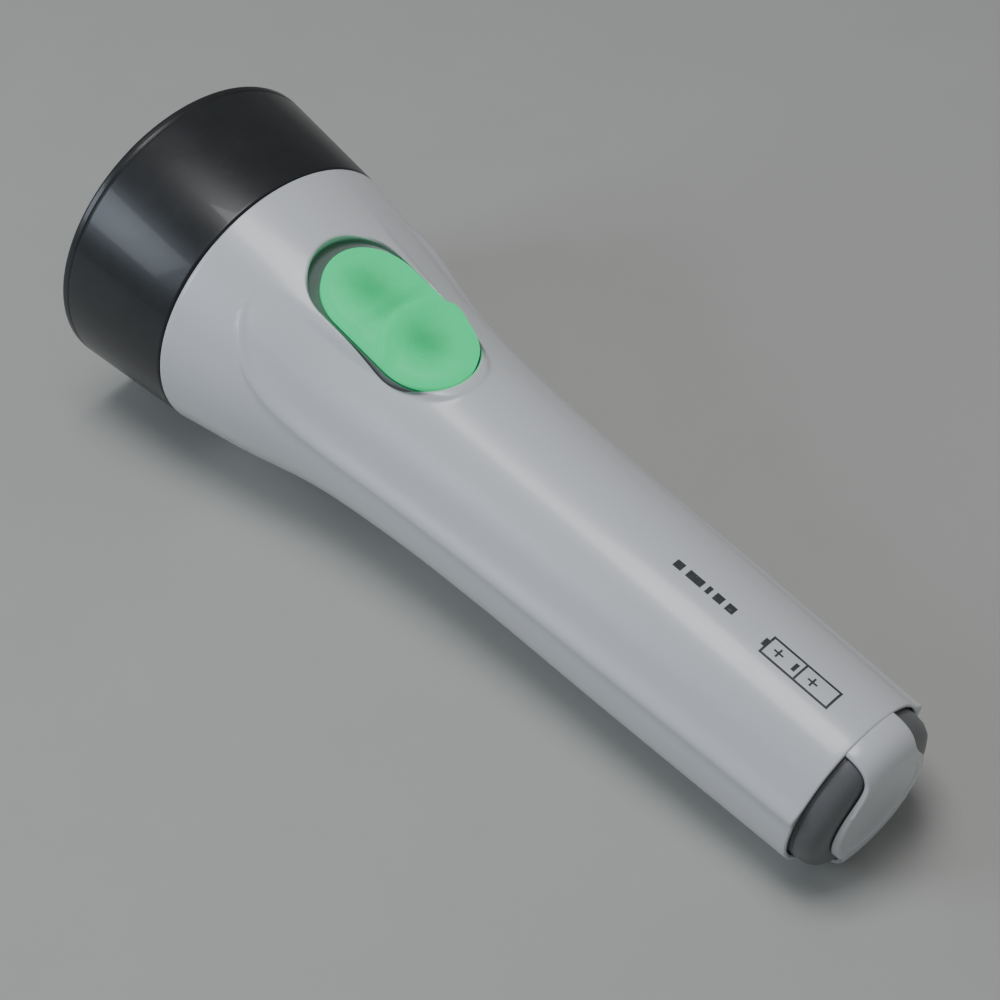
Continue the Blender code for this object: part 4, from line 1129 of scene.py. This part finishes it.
# name, replaced node, slot, finish, steps round, profile
LAMP_FITTINGS = (
    ("lamp_board", "led_board", "circuit_board", board_finish(), 96,
     ((147.2, 0.0, 0), (147.2, 9.3, 0.15), (148.8, 9.3, 0.15), (148.8, 0.0, 0))),
    ("lamp_cup_holder", "lamp_holder", "white_plastic", white_fitting, 72,
     ((137.0, 2.3, 0.2), (137.0, 9.3, 0.6), (146.9, 9.3, 0.2), (146.9, 7.8, 0.2), (138.5, 7.8, 0.5),
      (138.5, 2.3, 0.2))),
    ("front_contact_rivet", "front_rivet", "brass", brass, 48,
     ((136.0, 0.0, 0), (136.0, 3.2, 0.25), (136.3, 3.6, 0.15), (136.7, 3.6, 0.1), (136.7, 1.9, 0.1),
      (142.0, 1.9, 0.2), (142.0, 0.0, 0))),
    ("lamp_sleeve_ring", "lamp_ring", "brass", brass, 96,
     ((141.5, 11.8, 0.1), (141.5, 12.3, 0.2), (145.5, 12.3, 0.2), (145.5, 11.8, 0.1))),
)
for name, node, slot, finish, steps, corners in LAMP_FITTINGS:
    seat(turned_piece(name, steps, corners), "lamp_unit", slot, finish, node)

# %% [markdown]
# ## Solder joints
# Each leg of the diode ends in a cone of solder on the board: a turned shape whose height falls as the square
# of the distance from the leg.

# %% Solder joints
BOARD_BACK = 147.15
SOLDER_HEIGHT = 0.75
SOLDER_RADIUS = 1.0


def solder(name, z):
    """A small cone closed by its foot: its height over the board falls as (1 - share)^2 of the radius."""
    share = np.linspace(0.0, 1.0, 8)
    turn = 2 * math.pi * np.arange(20) / 20
    x = BOARD_BACK - SOLDER_HEIGHT * np.r_[(1 - share) ** 2, 0.0][:, None] + 0 * turn
    reach = SOLDER_RADIUS * np.r_[share, 0.0][:, None]
    return grid_object(name, torch_place(x * MM, reach * np.sin(turn) * MM, (z + reach * np.cos(turn)) * MM))


for name, z in (("solder_anvil", -1.27), ("solder_post", 1.27)):
    seat(solder(name, z), "lamp_unit", "tinned_steel", tin)

# %% [markdown]
# ## Springs
# A spring is the sweep again, along a coil whose radius may taper and whose ends lie level so that they
# seat flat. The climb is held still for three quarters of a turn at each end.

# %% Springs
def coil_path(start, length, radii, turns, wire, per_turn=28):
    """Points of a coil about the axis: radius runs evenly from the first to the second, and the climb is
    a clipped ramp that leaves level end turns."""
    along = np.linspace(0.0, 1.0, int(turns * per_turn) + 1)
    turn = 2 * math.pi * turns * along
    radius = radii[0] + (radii[1] - radii[0]) * along
    climb = np.clip((along * turns - 0.75) / (turns - 1.5), 0.0, 1.0)
    x = start + wire / 2 + (length - wire) * climb
    return np.column_stack((x, radius * np.cos(turn), radius * np.sin(turn)))


tail_coil = swept("tail_coil_spring", coil_path(-0.4, 18.25, (10.0, 5.0), 5.5, 1.2), 0.6, 12)
seat(tail_coil, "tube", "spring_steel", spring_wire, "tail_spring")
front_coil = swept("front_coil_spring", coil_path(133.0, 2.7, (4.2, 3.2), 3.0, 0.5), 0.25, 10)
seat(front_coil, "lamp_unit", "spring_steel", spring_wire, "front_spring")

# %% [markdown]
# ## Tail plug
# The grey plug closes the tube. Its round shoulder shows on both sides of the white bracket, a step lower
# than the tube's edge, with a fine parting groove. A notch in its skirt lets the tail strip past.

# %% Tail plug
CAP_BORE = 15.9
plug = turned_piece("tail_plug", 160, (
    (-5.9, 0.0, 0), (-5.9, 18.5, 5.6), (-0.9, 18.5, 0.0), (-0.75, 18.25, 0.05), (-0.5, 18.25, 0.05),
    (-0.35, 18.5, 0.0), (4.7, 18.5, 0.1), (4.7, 17.8, 0.1), (9.0, 17.8, 0.4), (9.0, CAP_BORE, 0.3),
    (-1.5, CAP_BORE, 0.4), (-1.5, 0.0, 0)))


def cutter(low, high):
    """A plain block between two torch corners, in millimetres."""
    ends = np.array((low, high), float)
    pick = np.array([(i, j, k) for i in (0, 1) for j in (0, 1) for k in (0, 1)])
    points = torch_place(*(np.stack([ends[pick[:, axis], axis] for axis in range(3)]) * MM))
    faces = np.array(((0, 1, 3, 2), (4, 6, 7, 5), (0, 4, 5, 1), (2, 3, 7, 6), (0, 2, 6, 4), (1, 5, 7, 3)))
    return mesh_object("cutter", points, faces)


plug = notched(plug, cutter((1.6, -3.6, CAP_BORE - 1.4), (9.5, 3.6, 19.0)))
seat(plug, "tube", "grey_plastic", grey_matt, "tail_cap")

# %% [markdown]
# ## Tail bracket
# A white strap comes over the plug's shoulder above and below and joins a round foot, which the torch can
# stand on. Seen from behind, it is a disc with two arms. Its outside is one turned profile: a sunk middle, a
# low rim, then the shoulder up to the tube's edge. Rings of that profile are kept whole as far as the foot's
# edge, and beyond it only the cells of the two arms are kept, whose width follows a fillet. A second skin one
# wall in and a strip along the free border close it, and every edge rolls over a quarter circle.

# %% Bracket outline
FOOT_RADIUS = 13.3
ARM_HALF_WIDTH = 7.4
ARM_FILLET = 3.8
BRACKET_ROLL = 0.75
BRACKET_PROFILE = ((-7.15, 0.0, 0), (-7.15, 11.0, 0.25), (-7.5, 11.3, 0.25), (-7.5, 20.0, 7.3),
                   (-0.12, 20.0, 0))
BRACKET_WALL = 1.3
ARM_WALL = 1.05


def arm_half_width(r):
    """Half the arm's width at a radius: constant, plus a quarter-circle fillet down to the foot's edge."""
    inside = np.clip(FOOT_RADIUS + ARM_FILLET - r, 0.0, ARM_FILLET)
    return ARM_HALF_WIDTH + ARM_FILLET - np.sqrt(ARM_FILLET ** 2 - inside ** 2)


profile = rounded(BRACKET_PROFILE, 40) / MM
length = np.r_[0.0, np.cumsum(np.linalg.norm(np.diff(profile, axis=0), axis=1))]
foot_end = np.interp(FOOT_RADIUS, profile[:, 1], length)
stations = np.r_[np.linspace(0.0, foot_end, 44), np.linspace(foot_end, length[-1], 44)[1:]]
ring_x, ring_r = (np.interp(stations, length, column) for column in profile.T)
slope_x, slope_r = np.gradient(ring_x, stations), np.gradient(ring_r, stations)
inward = np.column_stack((slope_r, -slope_x)) / np.hypot(slope_x, slope_r)[:, None]

# %% [markdown]
# ## Fan of the bracket's rings
# Each ring is shared between the arm's half-width and the stretch between the arms, so grid lines run along
# the arms' sides. The distance to the free edge is the greater of the distances inside the arm and the foot.

# %% Bracket shell
ARM_STEPS, GAP_STEPS = 34, 44
edge_angle = np.arcsin(np.minimum(arm_half_width(ring_r) / np.maximum(ring_r, 1e-6), 0.80))[:, None]
arm_share = np.sin(np.linspace(-math.pi / 2, math.pi / 2, ARM_STEPS + 1))[None, :-1]
gap_share = np.linspace(0.0, 1.0, GAP_STEPS + 1)[None, :-1]
top_arm = edge_angle * arm_share
right_gap = edge_angle + (math.pi - 2 * edge_angle) * gap_share
bracket_angle = np.hstack((top_arm, right_gap, top_arm + math.pi, right_gap + math.pi))
r = ring_r[:, None] + 0 * bracket_angle
across = np.abs(r * np.sin(bracket_angle))
to_edge = np.maximum(arm_half_width(r) - across, FOOT_RADIUS - r)
near = 1.0 - np.clip(to_edge / BRACKET_ROLL, 0.0, 1.0)
roll = BRACKET_ROLL * (1.0 - np.sqrt(1.0 - near ** 2)) * 0.98
wall = BRACKET_WALL - (BRACKET_WALL - ARM_WALL) * smoothstep(FOOT_RADIUS - 1.0, FOOT_RADIUS + 2.0, r)


def bracket_skin(depth):
    """Torch points of the bracket's skin moved in along the profile's normal by a depth."""
    x = ring_x[:, None] + inward[:, :1] * depth
    radius = np.maximum(ring_r[:, None] + inward[:, 1:] * depth, 0.0)
    return np.stack((x, radius * np.sin(bracket_angle), radius * np.cos(bracket_angle)), axis=-1) * MM


def shell_object(name, outer, inner, kept):
    """A closed shell: kept cells of an outer and an inner grid, and a strip along their free border. An
    edge is on the border when only one kept cell has it."""
    index = np.arange(outer.shape[0] * outer.shape[1]).reshape(outer.shape[:2])
    cells = quads(index, wrap_columns=True)[kept.reshape(-1)]
    edges = np.vstack([cells[:, (k, (k + 1) % 4)] for k in range(4)])
    _, first, count = np.unique(np.sort(edges, axis=1), axis=0, return_index=True, return_counts=True)
    border = edges[first[count == 1]]
    strip = np.column_stack((border, border[:, ::-1] + index.size))
    points = np.vstack((outer.reshape(-1, 3), inner.reshape(-1, 3)))
    return mesh_object(name, torch_place(*points.T), np.vstack((cells, cells + index.size, strip)))


in_arm = np.r_[np.ones(ARM_STEPS), np.zeros(GAP_STEPS), np.ones(ARM_STEPS), np.zeros(GAP_STEPS)] > 0
kept = in_arm[None, :] | (ring_r[1:, None] <= FOOT_RADIUS + 1e-6)
bracket = shell_object("tail_bracket_shell", bracket_skin(roll), bracket_skin(wall), kept)
seat(bracket, "tube", "white_plastic", white_plain, "tail_bracket")

# %% [markdown]
# ## The two cells
# Two D cells lie end to end. A cell is a steel can in a printed sleeve that is shrunk over its edges, a thin
# seal ring, and a raised steel cap. The sleeve here has two plain colour bands, and its print is a fine
# line where they meet. The cap keeps the stamped step that a pressed cap has.

# %% Cells
CELL_RADIUS = 16.7


def jacket_finish(start):
    """Sleeve print for the cell that starts at x (mm): two colour bands, a hairline and scuffs."""
    finish = Finish(f"cell_sleeve_{round(start)}")
    place = finish.torch_position()
    x, y, z = finish.split(place)
    band = finish.step(x, start + 42.0, start + 42.3)
    line = finish.step(abs(x - (start + 41.0)), 0.25, 0.35, 1.0, 0.0)
    scuff = finish.step(finish.noise(finish.stretched(place, (4.0, 0.6, 0.6)), 0.6, 5.0), 0.60, 0.75)
    colour = finish.mix(band, (0.015, 0.10, 0.14), (0.55, 0.57, 0.58))
    colour = finish.mix(line, colour, (0.70, 0.72, 0.72))
    colour = finish.mix(scuff * 0.35, colour, (0.40, 0.42, 0.43))
    return finish.done({"Base Color": colour, "Metallic": band * 0.6, "Roughness": 0.25 + scuff * 0.25,
                        "Normal": finish.bump(scuff, -0.01 * MM), "Coat Weight": 0.4})


for node in ("rear_cell", "front_cell"):
    span = torch_plan(node_points(node))[:, 0] / MM
    start, end = span.min(), span.max()
    can = turned_piece(node + "_can", 128, (
        (start, 0.0, 0), (start, 12.6, 0.1), (start + 0.35, 12.9, 0.1), (start + 0.35, 13.6, 0.1),
        (start, 13.9, 0.15), (start, CELL_RADIUS, 1.1), (end - 0.6, CELL_RADIUS, 1.1), (end - 0.6, 14.2, 0.2),
        (end, 13.8, 0.3), (end, 6.2, 0.2), (end - 0.5, 5.9, 0.1), (end - 0.5, 0.0, 0)))
    seat(can, "tube", "cell_jacket", jacket_finish(start), node)
    button = turned_piece(node + "_button", 48, (
        (end + 0.3, 0.0, 0), (end + 0.3, 4.9, 0.1), (end + 0.55, 4.9, 0.1), (end + 0.75, 4.6, 0.2),
        (end + 2.0, 4.5, 0.5), (end + 2.0, 1.2, 0.3), (end + 1.85, 0.9, 0.2), (end + 1.85, 0.0, 0)))
    seat(button, "tube", "tinned_steel", tin, node + "_cap")

# %% [markdown]
# ## Screws
# Two self-tapping screws hold the switch tray. A screw is a profile with two additions to its surface: a
# cross pressed into the head, written as a dip near either of two crossing lines, and a thread on the shank,
# a saw-tooth that follows the turn.

# %% Tray screws
SHANK_RADIUS = 0.72
SCREW_PITCH = 0.8 * MM
SCREW_THREAD = 0.26 * MM
CROSS_DEPTH = 0.55 * MM


def screw_points(node):
    """Grid of a pan-head screw, head down: the dip of the cross is the product of two eased steps."""
    local = torch_plan(node_points(node))
    plane = in_switch_plane(local)
    middle = (plane.min(axis=0) + plane.max(axis=0)) / 2
    low, high = height_of(local).min() / MM, height_of(local).max() / MM
    head = rounded(((low, 0.0, 0), (low, 1.2, 0.5), (low + 0.5, 2.15, 0.3), (low + 1.2, 2.2, 0.15),
                    (low + 1.2, 0.9, 0.1)), 6)
    flat = np.column_stack((np.full(14, low), np.linspace(0.0, 0.95, 14))) * MM
    shank_n = np.linspace(low + 1.25, high - 0.6, 40)
    shank = np.column_stack((shank_n, 0 * shank_n + SHANK_RADIUS)) * MM
    tip = np.array(((high - 0.1, 0.3), (high, 0.0))) * MM
    rows = np.vstack((flat, head[1:], shank, tip))
    turn = 2 * math.pi * np.arange(36)[None, :] / 36
    height, radius = rows[:, :1] + 0 * turn, rows[:, 1:] + 0 * turn
    saw = np.abs((height / SCREW_PITCH + turn / (2 * math.pi)) % 1.0 - 0.5) * 2
    on_shank = smoothstep((low + 1.3) * MM, (low + 1.6) * MM, height) * (radius > 0.6 * MM)
    radius = radius + SCREW_THREAD * saw ** 2 * on_shank * (radius < 0.8 * MM)
    t, q = radius * np.cos(turn), radius * np.sin(turn)
    narrow = np.minimum(np.abs(t), np.abs(q))
    cross = smoothstep(0.32 * MM, 0.18 * MM, narrow) * smoothstep(1.25 * MM, 0.9 * MM, np.hypot(t, q))
    height = height + CROSS_DEPTH * cross * (height < (low + 0.6) * MM)
    return torch_place(*switch_place(t + middle[0], q + middle[1], height))


for node in ("tray_screw_left", "tray_screw_right"):
    seat(grid_object(node + "_threaded", screw_points(node)), "tube", "spring_steel", spring_wire, node)

# %% [markdown]
# ## Pieces kept from the CAD
# The strips, the plate, the slider and the tray are already the flat pressed or moulded shapes that they are
# on a real torch, so the CAD pieces stay and only their finish changes. The cell rails inside the tube went
# with the tube's CAD skin, so they are made again here.

# %% Finish the kept pieces
KEPT = {"tail_plate": tin, "tail_strip": tin, "lamp_strip": tin, "switch_tray": black_tray,
        "switch_slider": white_fitting, "slide_contact": brass, "board_resistor": black_tray}
for node, finish in KEPT.items():
    mesh = frame["nodes"][node].data
    mesh.materials.clear()
    mesh.materials.append(finish)
print("kept", sorted(KEPT))


RAIL_SPAN = (9.8 * MM, 124.0 * MM)
RAIL_RADIUS = 17.1 * MM
RAIL_HALF_WIDTH = 0.7 * MM


def rail(name, angle):
    """A rail on the bore: a rectangle from its own radius to just inside the wall, along the handle."""
    x = np.linspace(*RAIL_SPAN, 60)[:, None]
    low = np.full_like(x, RAIL_RADIUS)
    high = tube_radius(x) - TUBE_WALL + 0.3 * MM
    r = np.hstack((low, low, high, high))
    y = np.array((-1, 1, 1, -1)) * RAIL_HALF_WIDTH + 0 * r
    rows = np.stack((x + 0 * r, y * math.cos(angle) + r * math.sin(angle),
                     r * math.cos(angle) - y * math.sin(angle)), axis=-1)
    ends = rows[[0, -1]].mean(axis=1, keepdims=True) + 0 * rows[[0, -1]]
    return grid_object(name, torch_place(*np.moveaxis(np.concatenate((ends[:1], rows, ends[1:])), -1, 0)))


for third in (60, 180, 300):
    seat(rail(f"cell_rib_{third}", math.radians(third)), "tube", "white_plastic", white_plain)

# %% [markdown]
# ## Floor, light and camera
# The torch lies on a pale floor: one large plane is enough under soft light. A cool light from the side and a
# white one from above model the flare and the ridge, and a weak warm one fills the far side.
# The camera stands above and behind the switch, turned so that the torch runs from corner to corner.

# %% Floor
FLOOR_HALF = 6.0
floor_corners = [(x * FLOOR_HALF, y * FLOOR_HALF, 0.0) for x, y in ((-1, -1), (1, -1), (1, 1), (-1, 1))]
floor_mesh = bpy.data.meshes.new("floor")
floor_mesh.from_pydata(floor_corners, [], [(0, 1, 2, 3)])
floor = bpy.data.objects.new("floor", floor_mesh)
bpy.context.scene.collection.objects.link(floor)
floor_look = Finish("floor_paint")
paint = floor_look.noise(floor_look.wire("ShaderNodeTexCoord", {}, {}, "Object"), 40.0, 3.0)
floor_mesh.materials.append(floor_look.done({
    "Base Color": floor_look.mix(paint, (0.50, 0.50, 0.47), (0.53, 0.53, 0.50)), "Roughness": 0.6}))


# %% Lights
def area_light(name, place, size, power, colour, target=(0.0, 0.0, 0.03)):
    """A square soft light at a place, facing the torch."""
    data = bpy.data.lights.new(name, "AREA")
    data.shape = "SQUARE"
    data.size = size
    data.energy = power
    data.color = colour
    light = bpy.data.objects.new(name, data)
    away = np.array(place) - np.array(target)
    away = away / np.linalg.norm(away)
    across = np.cross((0.0, 0.0, 1.0), away)
    across = across / np.linalg.norm(across)
    turn = Matrix(np.column_stack((across, np.cross(away, across), away)).tolist()).to_4x4()
    light.matrix_world = Matrix.Translation(place) @ turn
    bpy.context.scene.collection.objects.link(light)


area_light("key", (0.42, 0.62, 0.42), 0.32, 1.9, (0.76, 0.87, 1.0))
area_light("fill", (-0.45, -0.60, 0.50), 0.7, 0.2, (1.0, 0.97, 0.92))
area_light("top", (0.05, 0.10, 0.95), 0.36, 3.8, (0.98, 0.98, 1.0), (0.0, 0.0, 0.0))
world = bpy.data.worlds.new("studio")
bpy.context.scene.world = world
world.use_nodes = True
background = world.node_tree.nodes["Background"]
background.inputs["Color"].default_value = (0.72, 0.76, 0.80, 1.0)
background.inputs["Strength"].default_value = 0.22

# %% Camera
CAMERA_PLACE = (-0.23339312, 0.22966815, 0.39497713)
CAMERA_RIGHT = (-0.69984854, -0.71429116, 0.00039608)
CAMERA_FORWARD = (0.47287769, -0.46373178, -0.74922595)
camera = bpy.data.objects.new("camera", bpy.data.cameras.new("camera"))
camera.data.sensor_width = 36.0
camera.data.lens = 81.76
camera.data.clip_start = 0.01
camera_up = np.cross(CAMERA_RIGHT, CAMERA_FORWARD)
basis = np.column_stack((CAMERA_RIGHT, camera_up, -np.array(CAMERA_FORWARD)))
camera.matrix_world = Matrix.Translation(CAMERA_PLACE) @ Matrix(basis.tolist()).to_4x4()
bpy.context.scene.collection.objects.link(camera)
bpy.context.scene.camera = camera
